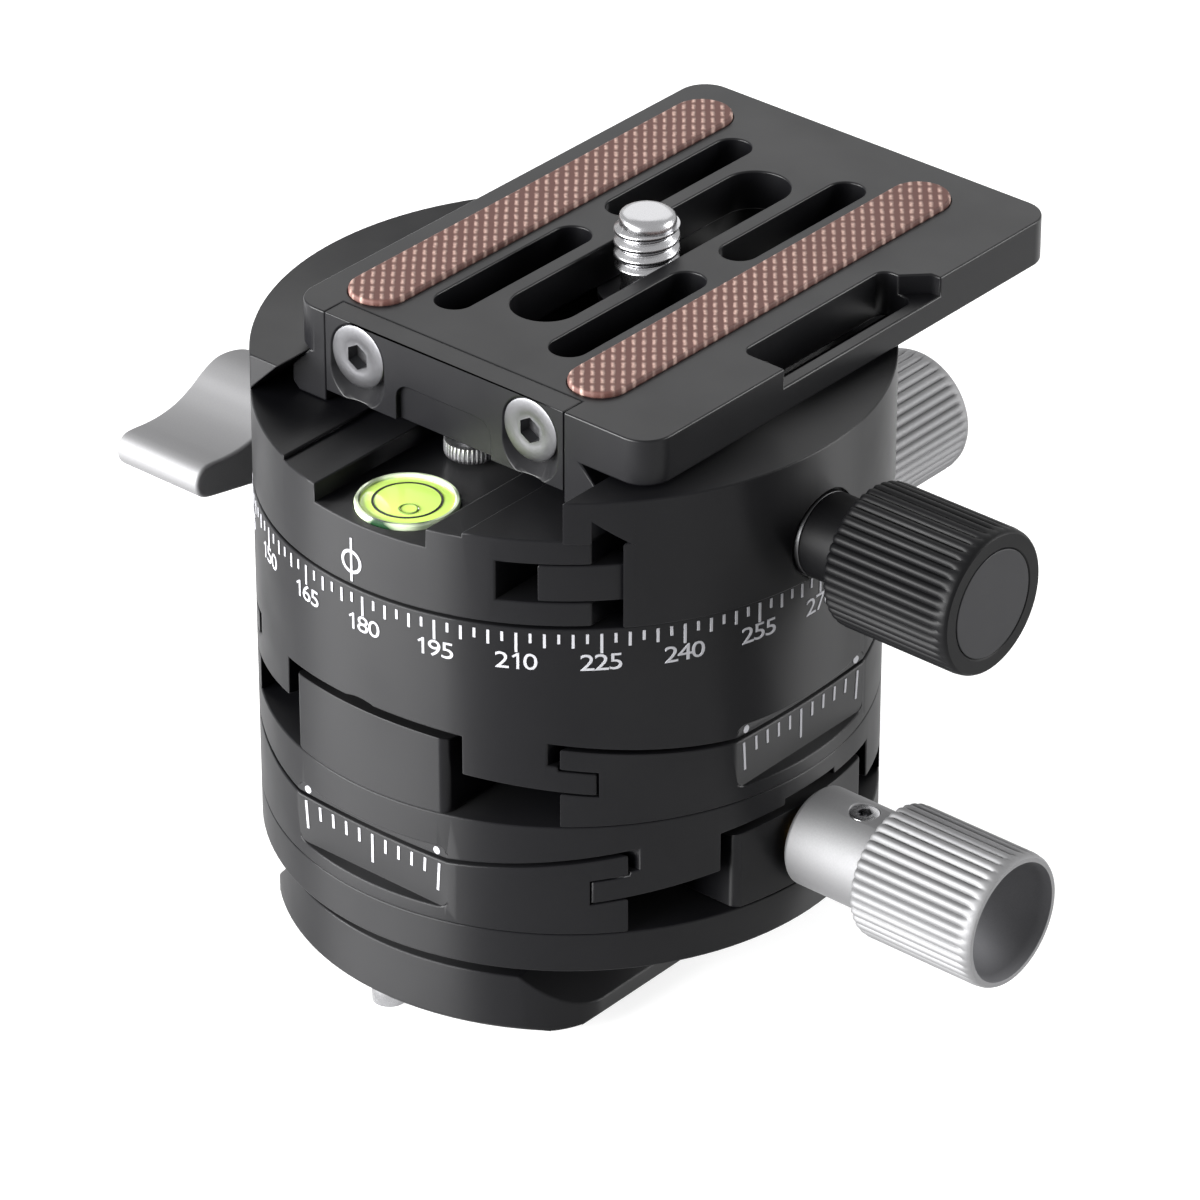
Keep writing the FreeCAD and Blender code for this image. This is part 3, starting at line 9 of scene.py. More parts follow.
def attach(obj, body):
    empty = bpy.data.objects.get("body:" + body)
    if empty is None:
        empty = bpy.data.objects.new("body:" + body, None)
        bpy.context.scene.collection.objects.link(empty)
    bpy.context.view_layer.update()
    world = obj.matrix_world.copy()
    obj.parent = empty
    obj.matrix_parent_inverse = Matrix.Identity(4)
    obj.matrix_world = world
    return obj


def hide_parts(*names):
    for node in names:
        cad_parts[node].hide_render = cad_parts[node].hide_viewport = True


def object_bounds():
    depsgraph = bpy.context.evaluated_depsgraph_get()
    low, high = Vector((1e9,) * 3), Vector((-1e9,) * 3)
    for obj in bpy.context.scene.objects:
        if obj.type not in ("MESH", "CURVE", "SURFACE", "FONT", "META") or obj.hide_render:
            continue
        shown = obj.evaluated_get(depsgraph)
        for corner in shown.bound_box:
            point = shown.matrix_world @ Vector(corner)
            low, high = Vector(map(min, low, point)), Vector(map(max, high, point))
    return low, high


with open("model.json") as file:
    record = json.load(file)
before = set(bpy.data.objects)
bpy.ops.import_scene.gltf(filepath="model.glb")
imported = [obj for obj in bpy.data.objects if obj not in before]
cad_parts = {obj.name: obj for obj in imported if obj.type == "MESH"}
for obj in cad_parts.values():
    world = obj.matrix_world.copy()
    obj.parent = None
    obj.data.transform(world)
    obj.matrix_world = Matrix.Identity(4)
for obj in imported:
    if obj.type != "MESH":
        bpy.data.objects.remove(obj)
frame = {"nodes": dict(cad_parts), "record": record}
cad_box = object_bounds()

# Studio: a plain pale floor, a white surround and three soft boxes, with the camera at the
# photograph's angle: 40 degrees round from the front, looking 31 degrees down.

MM = 0.001


def srgb(text):
    """An sRGB hex colour as the linear RGBA that a shader takes."""
    channels = [int(text[i:i + 2], 16) / 255 for i in (1, 3, 5)]
    linear = [c / 12.92 if c <= 0.04045 else ((c + 0.055) / 1.055) ** 2.4 for c in channels]
    return linear + [1.0]


def add_node(tree, kind, inputs=None, **settings):
    """Add a node, set its properties, and fill or link its inputs by name or number."""
    made = tree.nodes.new(kind)
    for key, value in settings.items():
        setattr(made, key, value)
    for key, value in (inputs or {}).items():
        if isinstance(value, bpy.types.NodeSocket):
            tree.links.new(value, made.inputs[key])
        else:
            made.inputs[key].default_value = value
    return made


def new_material(name):
    material = bpy.data.materials.new(name)
    material.use_nodes = True
    material.node_tree.nodes.clear()
    return material, material.node_tree


def seen_directly(tree):
    """One for rays from the camera, from gloss and through glass, and zero for light on things."""
    path = add_node(tree, "ShaderNodeLightPath")
    first = add_node(tree, "ShaderNodeMath",
                     {0: path.outputs["Is Camera Ray"], 1: path.outputs["Is Glossy Ray"]},
                     operation="MAXIMUM")
    return add_node(tree, "ShaderNodeMath",
                    {0: first.outputs[0], 1: path.outputs["Is Transmission Ray"]},
                    operation="MAXIMUM")


def link_object(name, mesh):
    made = bpy.data.objects.new(name, mesh)
    bpy.context.scene.collection.objects.link(made)
    return made


def make_floor():
    """White paper under the foot's screws, which shows the object's shadow."""
    half_width = 3.0
    bm = bmesh.new()
    bmesh.ops.create_grid(bm, x_segments=1, y_segments=1, size=half_width)
    bmesh.ops.translate(bm, verts=bm.verts, vec=(0, 0, cad_box[0][2]))
    mesh = bpy.data.meshes.new("studio_floor")
    bm.to_mesh(mesh)
    bm.free()
    floor = link_object("studio_floor", mesh)
    material, tree = new_material("white_paper_sweep")
    paper = add_node(tree, "ShaderNodeBsdfDiffuse", {"Color": srgb("#B4B4B4")})
    glow = add_node(tree, "ShaderNodeEmission", {"Color": srgb("#FFFFFF"), "Strength": 0.72})
    both = add_node(tree, "ShaderNodeAddShader", {0: paper.outputs[0], 1: glow.outputs[0]})
    mixed = add_node(tree, "ShaderNodeMixShader",
                     {0: seen_directly(tree).outputs[0], 1: paper.outputs[0], 2: both.outputs[0]})
    add_node(tree, "ShaderNodeOutputMaterial", {"Surface": mixed.outputs[0]})
    mesh.materials.append(material)


def make_surround(fill, shown):
    """White where it is seen or mirrored, and a weaker even light on the object."""
    world = bpy.data.worlds.new("soft_surround")
    bpy.context.scene.world = world
    world.use_nodes = True
    tree = world.node_tree
    tree.nodes.clear()
    strength = add_node(tree, "ShaderNodeMapRange",
                        {"Value": seen_directly(tree).outputs[0], "To Min": fill, "To Max": shown})
    light = add_node(tree, "ShaderNodeBackground",
                     {"Color": srgb("#FFFFFF"), "Strength": strength.outputs["Result"]})
    add_node(tree, "ShaderNodeOutputWorld", {"Surface": light.outputs[0]})


def soft_box(name, azimuth, elevation, distance, width, height, watts):
    """A rectangular lamp, placed by the direction that it shines from and turned to the object."""
    middle_of_object = Vector((0, 0, 40 * MM))
    a, e = math.radians(azimuth), math.radians(elevation)
    towards = Vector((math.sin(a) * math.cos(e), -math.cos(a) * math.cos(e), math.sin(e)))
    lamp = bpy.data.lights.new(name, "AREA")
    lamp.shape = "RECTANGLE"
    lamp.size = width
    lamp.size_y = height
    lamp.energy = watts
    made = bpy.data.objects.new(name, lamp)
    made.location = middle_of_object + towards * distance
    made.rotation_euler = towards.to_track_quat("Z", "Y").to_euler()
    bpy.context.scene.collection.objects.link(made)


def make_camera():
    """The photograph's camera, as solved from the object's rims, ticks and edges."""
    azimuth, elevation = math.radians(40.468), math.radians(30.902)
    target, distance = Vector((0, 0, 45 * MM)), 656.11 * MM
    aside, above = 2.889 * MM, -12.250 * MM
    focal_pixels, frame_pixels = 6921.4, 1200
    back = Vector((math.sin(azimuth) * math.cos(elevation),
                   -math.cos(azimuth) * math.cos(elevation),
                   math.sin(elevation)))
    right = Vector((math.cos(azimuth), math.sin(azimuth), 0))
    up = back.cross(right)
    lens = bpy.data.cameras.new("camera")
    lens.sensor_width = 36
    lens.lens = lens.sensor_width * focal_pixels / frame_pixels
    lens.clip_start = 0.01
    lens.clip_end = 20
    camera = bpy.data.objects.new("camera", lens)
    turn = Matrix((right, up, back)).transposed().to_4x4()
    centre = target + back * distance + right * aside + up * above
    camera.matrix_world = Matrix.Translation(centre) @ turn
    bpy.context.scene.collection.objects.link(camera)
    bpy.context.scene.camera = camera


bpy.context.scene.view_settings.view_transform = "Standard"
make_floor()
make_surround(fill=0.30, shown=1.0)
soft_box("left_box", azimuth=-27, elevation=7, distance=0.7, width=0.76, height=0.5, watts=46.0)
soft_box("right_box", azimuth=134, elevation=12, distance=0.7, width=0.30, height=0.5, watts=7.5)
soft_box("top_box", azimuth=218, elevation=40, distance=0.8, width=1.0, height=0.6, watts=2.5)
make_camera()

# Foot, base disc and the other black machined parts. They are turned or milled from aluminium,
# blasted, dyed black and sealed, so they have a satin sheen, and their edges are just broken.


def turning_marks(tree, place):
    """The way along the lathe's grooves, which run round the pan axis."""
    along = add_node(tree, "ShaderNodeVectorMath",
                     {0: (0, 0, 1), 1: place.outputs["Object"]}, operation="CROSS_PRODUCT")
    turned_with = add_node(tree, "ShaderNodeVectorTransform", {0: along.outputs[0]},
                           vector_type="VECTOR", convert_from="OBJECT", convert_to="WORLD")
    return add_node(tree, "ShaderNodeVectorMath", {0: turned_with.outputs[0]},
                    operation="NORMALIZE")


def black_anodised(name, colour="#09090B", roughness=0.42, gloss=0.30, streak=0.0):
    """Dyed oxide on aluminium: a dark satin coat, its gloss drawn out where it has been turned."""
    material, tree = new_material(name)
    place = add_node(tree, "ShaderNodeTexCoord")
    blast = add_node(tree, "ShaderNodeTexNoise",
                     {"Vector": place.outputs["Object"], "Scale": 7000.0, "Detail": 2.0})
    cloud = add_node(tree, "ShaderNodeTexNoise",
                     {"Vector": place.outputs["Object"], "Scale": 120.0, "Detail": 3.0})
    polish = add_node(tree, "ShaderNodeMapRange",
                      {"Value": cloud.outputs["Fac"], "From Min": 0.3, "From Max": 0.7,
                       "To Min": roughness - 0.03, "To Max": roughness + 0.04})
    grain = add_node(tree, "ShaderNodeBump",
                     {"Height": blast.outputs["Fac"], "Strength": 0.06, "Distance": 0.02 * MM})
    coat = add_node(tree, "ShaderNodeBsdfPrincipled",
                    {"Base Color": srgb(colour), "Roughness": polish.outputs["Result"],
                     "IOR": 1.36, "Specular IOR Level": gloss, "Normal": grain.outputs[0]})
    if streak:
        coat.inputs["Anisotropic"].default_value = streak
        coat.inputs["Anisotropic Rotation"].default_value = 0.25
        tree.links.new(turning_marks(tree, place).outputs[0], coat.inputs["Tangent"])
    add_node(tree, "ShaderNodeOutputMaterial", {"Surface": coat.outputs[0]})
    return material


def polish_normals(piece, degrees):
    """Smooth the curved faces and keep flat ones flat up to the broken edges."""
    piece.data.shade_smooth()
    piece.data.set_sharp_from_angle(angle=math.radians(degrees))
    evened = piece.modifiers.new("evened", "WEIGHTED_NORMAL")
    evened.keep_sharp = True


def finish(name, bm, material, body, degrees=35):
    """Make a piece of a bmesh drawn in millimetres, and let it ride on its body."""
    bmesh.ops.remove_doubles(bm, verts=bm.verts, dist=0.0005)
    bmesh.ops.recalc_face_normals(bm, faces=bm.faces)
    bmesh.ops.scale(bm, vec=(MM, MM, MM), verts=bm.verts)
    mesh = bpy.data.meshes.new(name)
    bm.to_mesh(mesh)
    bm.free()
    mesh.materials.append(material)
    piece = link_object(name, mesh)
    polish_normals(piece, degrees)
    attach(piece, body)
    return piece


def merged_copy(node):
    """The node's own surface in millimetres, with its loose triangles joined into flat faces."""
    bm = bmesh.new()
    bm.from_mesh(frame["nodes"][node].data)
    bmesh.ops.scale(bm, vec=(1 / MM, 1 / MM, 1 / MM), verts=bm.verts)
    bmesh.ops.remove_doubles(bm, verts=bm.verts, dist=0.001)
    bmesh.ops.dissolve_limit(bm, angle_limit=math.radians(0.5), verts=bm.verts, edges=bm.edges)
    return bm


def break_edges(bm, width, degrees=40, segments=2):
    """Round the outer edges of a machined part by the width that a deburring tool leaves."""
    edges = [edge for edge in bm.edges if edge.is_manifold and edge.is_convex
             and edge.calc_face_angle() > math.radians(degrees)]
    bmesh.ops.bevel(bm, geom=edges, offset=width, offset_type="OFFSET", segments=segments,
                    profile=0.5, affect="EDGES", clamp_overlap=False, material=-1)


def cut_away(bm, place, facing):
    """Cut off what lies past a plane, given by a point on it and the way that it faces."""
    bmesh.ops.bisect_plane(bm, geom=bm.verts[:] + bm.edges[:] + bm.faces[:], dist=0.0001,
                           plane_co=place, plane_no=facing, clear_outer=True)


def round_foot_corners(bm):
    """Blend the foot's right side into its round rim, by cuts that follow a nine millimetre arc."""
    blend, side, rim = 9.0, 19.0, 28.7
    centre_x = side - blend
    centre_y = math.sqrt((rim - blend) ** 2 - centre_x ** 2)
    for y_sign in (1, -1):
        for step in range(11):
            angle = math.radians(6 + 5 * step)
            facing = Vector((math.cos(angle), y_sign * math.sin(angle), 0))
            middle = Vector((centre_x, y_sign * centre_y, 0))
            cut_away(bm, middle + facing * blend, facing)
            bmesh.ops.holes_fill(bm, edges=[edge for edge in bm.edges if edge.is_boundary], sides=0)
    bmesh.ops.dissolve_limit(bm, angle_limit=math.radians(0.5), verts=bm.verts, edges=bm.edges)


def body_of(node):
    for body, members in frame["record"]["behaviour"]["bodies"].items():
        if node in members:
            return body


def machined(node, material, width):
    """Put a copy with broken edges in the place of a machined node."""
    bm = merged_copy(node)
    if node == "foot_plate":
        round_foot_corners(bm)
    break_edges(bm, width)
    piece = finish(node + "_finished", bm, material, body_of(node))
    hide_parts(node)
    return piece


body_black = black_anodised("black_anodised_aluminium", streak=0.9)
milled_black = black_anodised("black_anodised_milled", roughness=0.36)
for part in ("foot_plate", "base_disc", "lower_rail_scale", "lower_rail_plain",
             "lower_worm_housing", "lower_carriage", "upper_rail_scale", "upper_rail_plain",
             "upper_worm_housing", "scale_drum", "clamp_body", "moving_jaw"):
    machined(part, body_black, 0.18)
machined("camera_plate", milled_black, 0.2)
machined("stopper", milled_black, 0.1)

# Racks, worms and the other inner metal. The racks and bushes are milled and turned brass. Each
# worm is a ground steel shaft with its thread cut in one with it, held in its housing's bush, and
# the shafts and screws are steel too.


def bright_metal(name, colour, roughness, grain_mm=0.15):
    """A machined metal: its own colour in the mirror, broken by fine tool marks."""
    material, tree = new_material(name)
    place = add_node(tree, "ShaderNodeTexCoord")
    marks = add_node(tree, "ShaderNodeTexNoise",
                     {"Vector": place.outputs["Object"], "Scale": 1 / (grain_mm * MM),
                      "Detail": 2.0})
    polish = add_node(tree, "ShaderNodeMapRange",
                      {"Value": marks.outputs["Fac"], "To Min": roughness - 0.08,
                       "To Max": roughness + 0.08})
    grain = add_node(tree, "ShaderNodeBump",
                     {"Height": marks.outputs["Fac"], "Strength": 0.08, "Distance": 0.02 * MM})
    metal = add_node(tree, "ShaderNodeBsdfPrincipled",
                     {"Base Color": srgb(colour), "Metallic": 1.0,
                      "Roughness": polish.outputs["Result"], "Normal": grain.outputs[0]})
    add_node(tree, "ShaderNodeOutputMaterial", {"Surface": metal.outputs[0]})
    return material


brass = bright_metal("milled_brass", "#C9A45C", 0.34)
steel = bright_metal("ground_steel", "#9A9A9C", 0.26)
dark_steel = bright_metal("blackened_steel", "#6E6E72", 0.36)
for part in ("lower_rack", "upper_rack", "lower_worm_bush", "upper_worm_bush"):
    machined(part, brass, 0.05)
for part in ("lower_worm", "upper_worm", "lock_shaft", "clamp_screw", "pan_screw",
             "foot_stop_screws"):
    machined(part, steel, 0.05)
for part in ("foot_screws", "camera_screw_washer"):
    machined(part, dark_steel, 0.05)
machined("pan_spindle", body_black, 0.1)

# Tilt knobs, pan ring and pan lever. They are turned or milled from aluminium, blasted and clear
# anodised. Each knob is pinned to its worm by the grub screw, and the lever turns on its shaft.


def silver_anodised(name, colour, cup_centre=None):
    """Blasted aluminium under a clear oxide: pale and dull, with painted shade that darkens a
    knob's turned cup.
    """
    material, tree = new_material(name)
    place = add_node(tree, "ShaderNodeTexCoord")
    blast = add_node(tree, "ShaderNodeTexNoise",
                     {"Vector": place.outputs["Object"], "Scale": 6000.0, "Detail": 2.0})
    polish = add_node(tree, "ShaderNodeMapRange",
                      {"Value": blast.outputs["Fac"], "To Min": 0.66, "To Max": 0.78})
    grain = add_node(tree, "ShaderNodeBump",
                     {"Height": blast.outputs["Fac"], "Strength": 0.10, "Distance": 0.02 * MM})
    coat = add_node(tree, "ShaderNodeBsdfPrincipled",
                    {"Base Color": srgb(colour), "Metallic": 1.0,
                     "Roughness": polish.outputs["Result"], "Normal": grain.outputs[0]})
    # Painted shade: inside the turned cup the base colour turns to a darker grey, standing in for
    # the dark that the hollow shows.
    if cup_centre:
        centre = Vector(cup_centre) * MM
        away = add_node(tree, "ShaderNodeVectorMath",
                        {0: place.outputs["Object"], 1: centre}, operation="DISTANCE")
        in_painted_cup_shade = add_node(tree, "ShaderNodeMath",
                          {0: away.outputs["Value"], 1: (cup_radius + 0.04) * MM},
                          operation="LESS_THAN")
        tint = add_node(tree, "ShaderNodeMix",
                        {"Factor": in_painted_cup_shade.outputs[0], 6: srgb(colour), 7: srgb("#4F4F51")},
                        data_type="RGBA")
        tree.links.new(tint.outputs[2], coat.inputs["Base Color"])
    add_node(tree, "ShaderNodeOutputMaterial", {"Surface": coat.outputs[0]})
    return material


grip_start, knob_end, knob_ribs = 39.7, 54.0, 40
shaft_end, shaft_bore, knob_neck = 45.1, 2.02, 4.85
cup_mouth, cup_depth = 5.95, 4.6
cup_radius = (cup_mouth ** 2 + cup_depth ** 2) / (2 * cup_depth)
cup_place = knob_end - cup_depth + cup_radius
clear_coat = silver_anodised("clear_anodised_aluminium", "#777778")


def turned(points, steps=64):
    """A closed profile of radius and height pairs in millimetres, turned about Z."""
    bm = bmesh.new()
    ring = [bm.verts.new((radius, 0, height)) for radius, height in points]
    edges = [bm.edges.new(pair) for pair in zip(ring, ring[1:])]
    if points[0][0] > 0:
        edges.append(bm.edges.new((ring[-1], ring[0])))
    bmesh.ops.spin(bm, geom=ring + edges, cent=(0, 0, 0), axis=(0, 0, 1), angle=math.tau,
                   steps=steps, use_merge=True)
    bmesh.ops.remove_doubles(bm, verts=bm.verts, dist=0.0005)
    return bm


def cut_ribs(bm, count, inner, depth, start, end, fade):
    """Push in narrow valleys between rounded ribs, which run out to nothing at the outer end."""
    for vert in bm.verts:
        radius = math.hypot(vert.co.x, vert.co.y)
        if radius < inner or not start <= vert.co.z <= end:
            continue
        angle = math.atan2(vert.co.y, vert.co.x)
        valley = 1 - abs(math.sin(count * angle / 2)) ** 0.65
        run_out = min(1.0, (end - vert.co.z) / fade)
        pushed = max(inner, radius - depth * valley * run_out)
        vert.co.x *= pushed / radius
        vert.co.y *= pushed / radius


def swing(bm, verts, angle, axis):
    """Turn vertices about an axis through the origin."""
    bmesh.ops.rotate(bm, verts=verts, cent=(0, 0, 0), matrix=Matrix.Rotation(angle, 3, axis))


def move(bm, x, y, z):
    """Shift a whole bmesh, and give it back."""
    bmesh.ops.translate(bm, verts=bm.verts, vec=(x, y, z))
    return bm


def along(bm, axis, height):
    """Lay a piece drawn up Z along X or Y at a height."""
    if axis == "X":
        swing(bm, bm.verts, math.pi / 2, "Y")
    else:
        swing(bm, bm.verts, -math.pi / 2, "X")
    return move(bm, 0, 0, height)


def grip_points(radius, low, high, inner_end):
    """The grip's outside: a rounded shoulder, the ribbed length and a rolled outer rim."""
    lengths = [low + 0.9 + (high - low - 2.6) * step / 12 for step in range(13)]
    shoulder = [(radius - 0.95, low), (radius - 0.50, low + 0.08), (radius - 0.20, low + 0.28),
                (radius - 0.05, low + 0.58)]
    rim = [(radius, high - 1.45), (radius, high - 1.1), (radius - 0.03, high - 0.75),
           (radius - 0.12, high - 0.35), (radius - 0.26, high - 0.1), (inner_end, high)]
    return shoulder + [(radius, height) for height in lengths] + rim


dish = [(cup_radius * math.sin(math.radians(angle)),
         cup_place - cup_radius * math.cos(math.radians(angle)))
        for angle in (75, 65, 55, 45, 35, 25, 16, 8)]
for stage, axis, way, height in (("lower", "X", Vector((1, 0, 0)), 16.9),
                                 ("upper", "Y", Vector((0, 1, 0)), 28.8)):
    node = stage + "_knob"
    # Each knob gets its own coat, centred on its cup, for the painted shade in the cup.
    coat = silver_anodised("clear_anodised_" + node, "#757576",
                           way * cup_place + Vector((0, 0, height)))
    grip = turned([(0, shaft_end), (shaft_bore, shaft_end), (shaft_bore, grip_start - 0.3),
                   (knob_neck, grip_start - 0.3), (knob_neck, grip_start)]
                  + grip_points(6.75, grip_start, knob_end, 6.42)
                  + [(6.0, knob_end)] + dish + [(0, cup_place - cup_radius)], 8 * knob_ribs)
    cut_ribs(grip, knob_ribs, 6.05, 0.40, grip_start, knob_end - 0.5, 1.0)
    finish(node + "_grip", along(grip, axis, height), coat, stage + "_drive")
    collar = merged_copy(node)
    cut_away(collar, way * (grip_start - 0.31), way)
    bmesh.ops.bridge_loops(collar, edges=[edge for edge in collar.edges if edge.is_boundary])
    break_edges(collar, 0.15)
    collar = finish(node + "_collar", collar, coat, stage + "_drive")
    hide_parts(node)
machined("pan_ring", clear_coat, 0.1)


def smooth_loop(points, pieces=6):
    """A closed curve that passes smoothly through its points."""
    made = []
    count = len(points)
    for place in range(count):
        p0, p1, p2, p3 = (Vector(points[(place + step) % count]) for step in (-1, 0, 1, 2))
        for piece in range(pieces):
            t = piece / pieces
            made.append(0.5 * (2 * p1 + (p2 - p0) * t + (2 * p0 - 5 * p1 + 4 * p2 - p3) * t ** 2
                               + (3 * p1 - p0 - 3 * p2 + p3) * t ** 3))
    return made


def only(kind, geometry):
    """The vertices, or the edges, among what an operator made."""
    return [item for item in geometry if isinstance(item, kind)]


lever_outline = smooth_loop([
    (4.95, 36.9), (4.6, 39.0), (3.3, 40.75), (1.6, 41.95), (-0.4, 42.62), (-2.4, 42.75),
    (-4.3, 42.1), (-6.2, 41.0), (-8.2, 40.15), (-10.3, 39.75), (-12.4, 39.7), (-14.2, 39.85),
    (-15.4, 39.85), (-16.2, 39.45), (-16.68, 38.6), (-16.65, 37.6), (-16.15, 36.8), (-15.2, 36.3),
    (-13.4, 35.9), (-10.8, 35.4), (-8.0, 34.8), (-5.2, 33.7), (-3.2, 32.5), (-1.4, 31.7),
    (0.6, 31.45), (2.7, 32.1), (4.2, 33.6), (4.85, 35.3)])
lever_face, lever_width, lever_axis, lever_bore = -33.0, 10.8, 36.95, 2.51
lever = bmesh.new()
ring = [lever.verts.new((lever_face, point.x, point.y)) for point in lever_outline]
for pair in zip(ring, ring[1:] + ring[:1]):
    lever.edges.new(pair)
bore = bmesh.ops.create_circle(lever, segments=48, radius=lever_bore)["verts"]
swing(lever, bore, math.pi / 2, "Y")
bmesh.ops.translate(lever, verts=bore, vec=(lever_face, 0, lever_axis))
bmesh.ops.triangle_fill(lever, use_beauty=True, edges=lever.edges[:], normal=(1, 0, 0))
drawn = bmesh.ops.extrude_face_region(lever, geom=lever.faces[:], use_keep_orig=True)["geom"]
bmesh.ops.translate(lever, verts=only(BMVert, drawn), vec=(-lever_width, 0, 0))
bmesh.ops.recalc_face_normals(lever, faces=lever.faces[:])
break_edges(lever, 0.38, 50, 4)
lever = finish("lock_lever_paddle", lever, clear_coat, "pan_lock", 50)
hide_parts("lock_lever")

# Clamp knob with its cap and washer. The knob is turned from aluminium, ribbed and dyed black, the
# cap is a blasted disc pressed in over the screw's end, and the washer is oiled steel.

knob_black = black_anodised("black_anodised_knob", "#060607", 0.48, 0.17)
cap_black = black_anodised("black_anodised_cap", "#131316", 0.50, 0.4)
clamp_axis, clamp_ribs, screw_radius = 49.9, 44, 2.5
neck_start, neck_radius, grip_start, grip_end = 31.24, 4.2, 36.1, 50.5
grip = turned([(screw_radius, neck_start), (neck_radius - 0.1, neck_start),
               (neck_radius, neck_start + 0.1), (neck_radius, grip_start)]
              + grip_points(7.15, grip_start, grip_end, 6.75)
              + [(5.50, grip_end), (5.32, 50.35), (5.32, 49.7), (screw_radius, 49.7)],
              8 * clamp_ribs)
cut_ribs(grip, clamp_ribs, 6.3, 0.36, grip_start, grip_end - 0.6, 1.0)
grip = finish("clamp_knob_grip", along(grip, "X", clamp_axis), knob_black,
              "clamp_drive")
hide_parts("clamp_knob")
machined("clamp_knob_cap", cap_black, 0.10)
machined("clamp_washer", bright_metal("oiled_steel", "#3E3E3F", 0.40), 0.08)

# Round level. It is a clear acrylic cup pressed into the clamp's pocket and filled with a
# yellow-green liquid, with a black circle printed under its lens and the bubble off its middle.


def plain_plastic(name, colour, roughness, glow=0.0, coat=0.0):
    """A moulded plastic, liquid or print: one colour, clouded by a few hundredths, with an optional
    painted glow.
    """
    material, tree = new_material(name)
    place = add_node(tree, "ShaderNodeTexCoord")
    cloud = add_node(tree, "ShaderNodeTexNoise",
                     {"Vector": place.outputs["Object"], "Scale": 900.0, "Detail": 2.0})
    polish = add_node(tree, "ShaderNodeMapRange",
                      {"Value": cloud.outputs["Fac"], "To Min": roughness,
                       "To Max": roughness + 0.06})
    # Painted light: a glow above zero makes the surface shine in its own colour, though it is no
    # lamp.
    surface = add_node(tree, "ShaderNodeBsdfPrincipled",
                       {"Base Color": srgb(colour), "Roughness": polish.outputs["Result"],
                        "Emission Color": srgb(colour), "Emission Strength": glow,
                        "Coat Weight": coat, "Coat Roughness": 0.04})
    add_node(tree, "ShaderNodeOutputMaterial", {"Surface": surface.outputs[0]})
    return material


def clear_rim(name, dark, pale):
    """Acrylic drawn opaque, with random dark and pale patches: painted shade of the pocket and
    painted light of the liquid, as if seen through it.
    """
    material, tree = new_material(name)
    place = add_node(tree, "ShaderNodeTexCoord")
    painted_see_through_patches = add_node(tree, "ShaderNodeTexNoise",
                       {"Vector": place.outputs["Object"], "Scale": 210.0, "Detail": 1.0})
    # The patches mix painted shade and painted light into the rim's colour.
    depth = add_node(tree, "ShaderNodeMapRange",
                     {"Value": painted_see_through_patches.outputs["Fac"], "From Min": 0.40, "From Max": 0.56})
    tint = add_node(tree, "ShaderNodeMix", {"Factor": depth.outputs["Result"], 6: srgb(dark),
                                            7: srgb(pale)}, data_type="RGBA")
    surface = add_node(tree, "ShaderNodeBsdfPrincipled",
                       {"Base Color": tint.outputs[2], "Roughness": 0.08, "Coat Weight": 0.8,
                        "Coat Roughness": 0.03})
    add_node(tree, "ShaderNodeOutputMaterial", {"Surface": surface.outputs[0]})
    return material


level_x, level_y, cup_floor = 1.1, -24.1, 50.6
rim = turned([(4.42, cup_floor), (4.93, cup_floor), (4.93, 52.82), (4.80, 53.0), (4.55, 53.0),
              (4.42, 52.9)])
# The rim's dark and pale patches are painted shade and painted light, not real see-through.
rim = finish("level_rim", move(rim, level_x, level_y, 0),
             clear_rim("acrylic_rim_painted_see_through", "#16301C", "#D9E6C4"),
             "panning_clamp")
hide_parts("level_ring")
liquid = turned([(0, cup_floor), (4.40, cup_floor), (4.40, 52.70), (3.6, 52.78), (1.8, 52.85),
                 (0, 52.88)])
# The liquid has a painted glow of 0.18 in its own colour.
liquid = finish("level_liquid", move(liquid, level_x, level_y, 0),
                plain_plastic("yellow_green_liquid_painted_glow", "#CDEE72", 0.12, 0.18, 1.0),
                "panning_clamp")
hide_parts("level_vial")
circle = turned([(3.12, 52.70), (3.34, 52.70), (3.34, 52.83), (3.12, 52.85)])
finish("level_circle", move(circle, level_x, level_y, 0),
       plain_plastic("black_print", "#101210", 0.4), "panning_clamp")
bubble = turned([(0.74, 52.70), (0.98, 52.70), (0.98, 52.86), (0.90, 52.93), (0.80, 52.93),
                 (0.74, 52.86)])
finish("level_bubble", move(bubble, 2.3, -25.3, 0),
       plain_plastic("bubble_in_liquid", "#6E8A3C", 0.05, 0.0, 1.0), "panning_clamp")

# Marks cut through the black by a laser: the pan scale round the drum, its index on the clamp and
# the degree lines on the flats of the tilt stages. They bare the aluminium, and are drawn as thin
# plates that stand a few hundredths of a millimetre proud.


def laser_marking(name, colour):
    """Bared aluminium, pale and dull, broken up as a laser leaves it."""
    material, tree = new_material(name)
    place = add_node(tree, "ShaderNodeTexCoord")
    speckle = add_node(tree, "ShaderNodeTexNoise",
                       {"Vector": place.outputs["Object"], "Scale": 9000.0, "Detail": 2.0})
    tint = add_node(tree, "ShaderNodeMapRange",
                    {"Value": speckle.outputs["Fac"], "To Min": 0.55, "To Max": 0.8})
    surface = add_node(tree, "ShaderNodeBsdfPrincipled",
                       {"Base Color": srgb(colour), "Roughness": tint.outputs["Result"]})
    add_node(tree, "ShaderNodeOutputMaterial", {"Surface": surface.outputs[0]})
    return material


mark_half, wide_figures = 0.04, 1.22


def stroke(bm, across, up, width, height, turn=0.0):
    """A flat line in the XZ plane, by its middle, width and height, as a thin plate."""
    made = bmesh.ops.create_cube(bm, size=1.0)["verts"]
    bmesh.ops.scale(bm, vec=(width, 2 * mark_half, height), verts=made)
    swing(bm, made, turn, "Y")
    bmesh.ops.translate(bm, verts=made, vec=(across, 0, up))


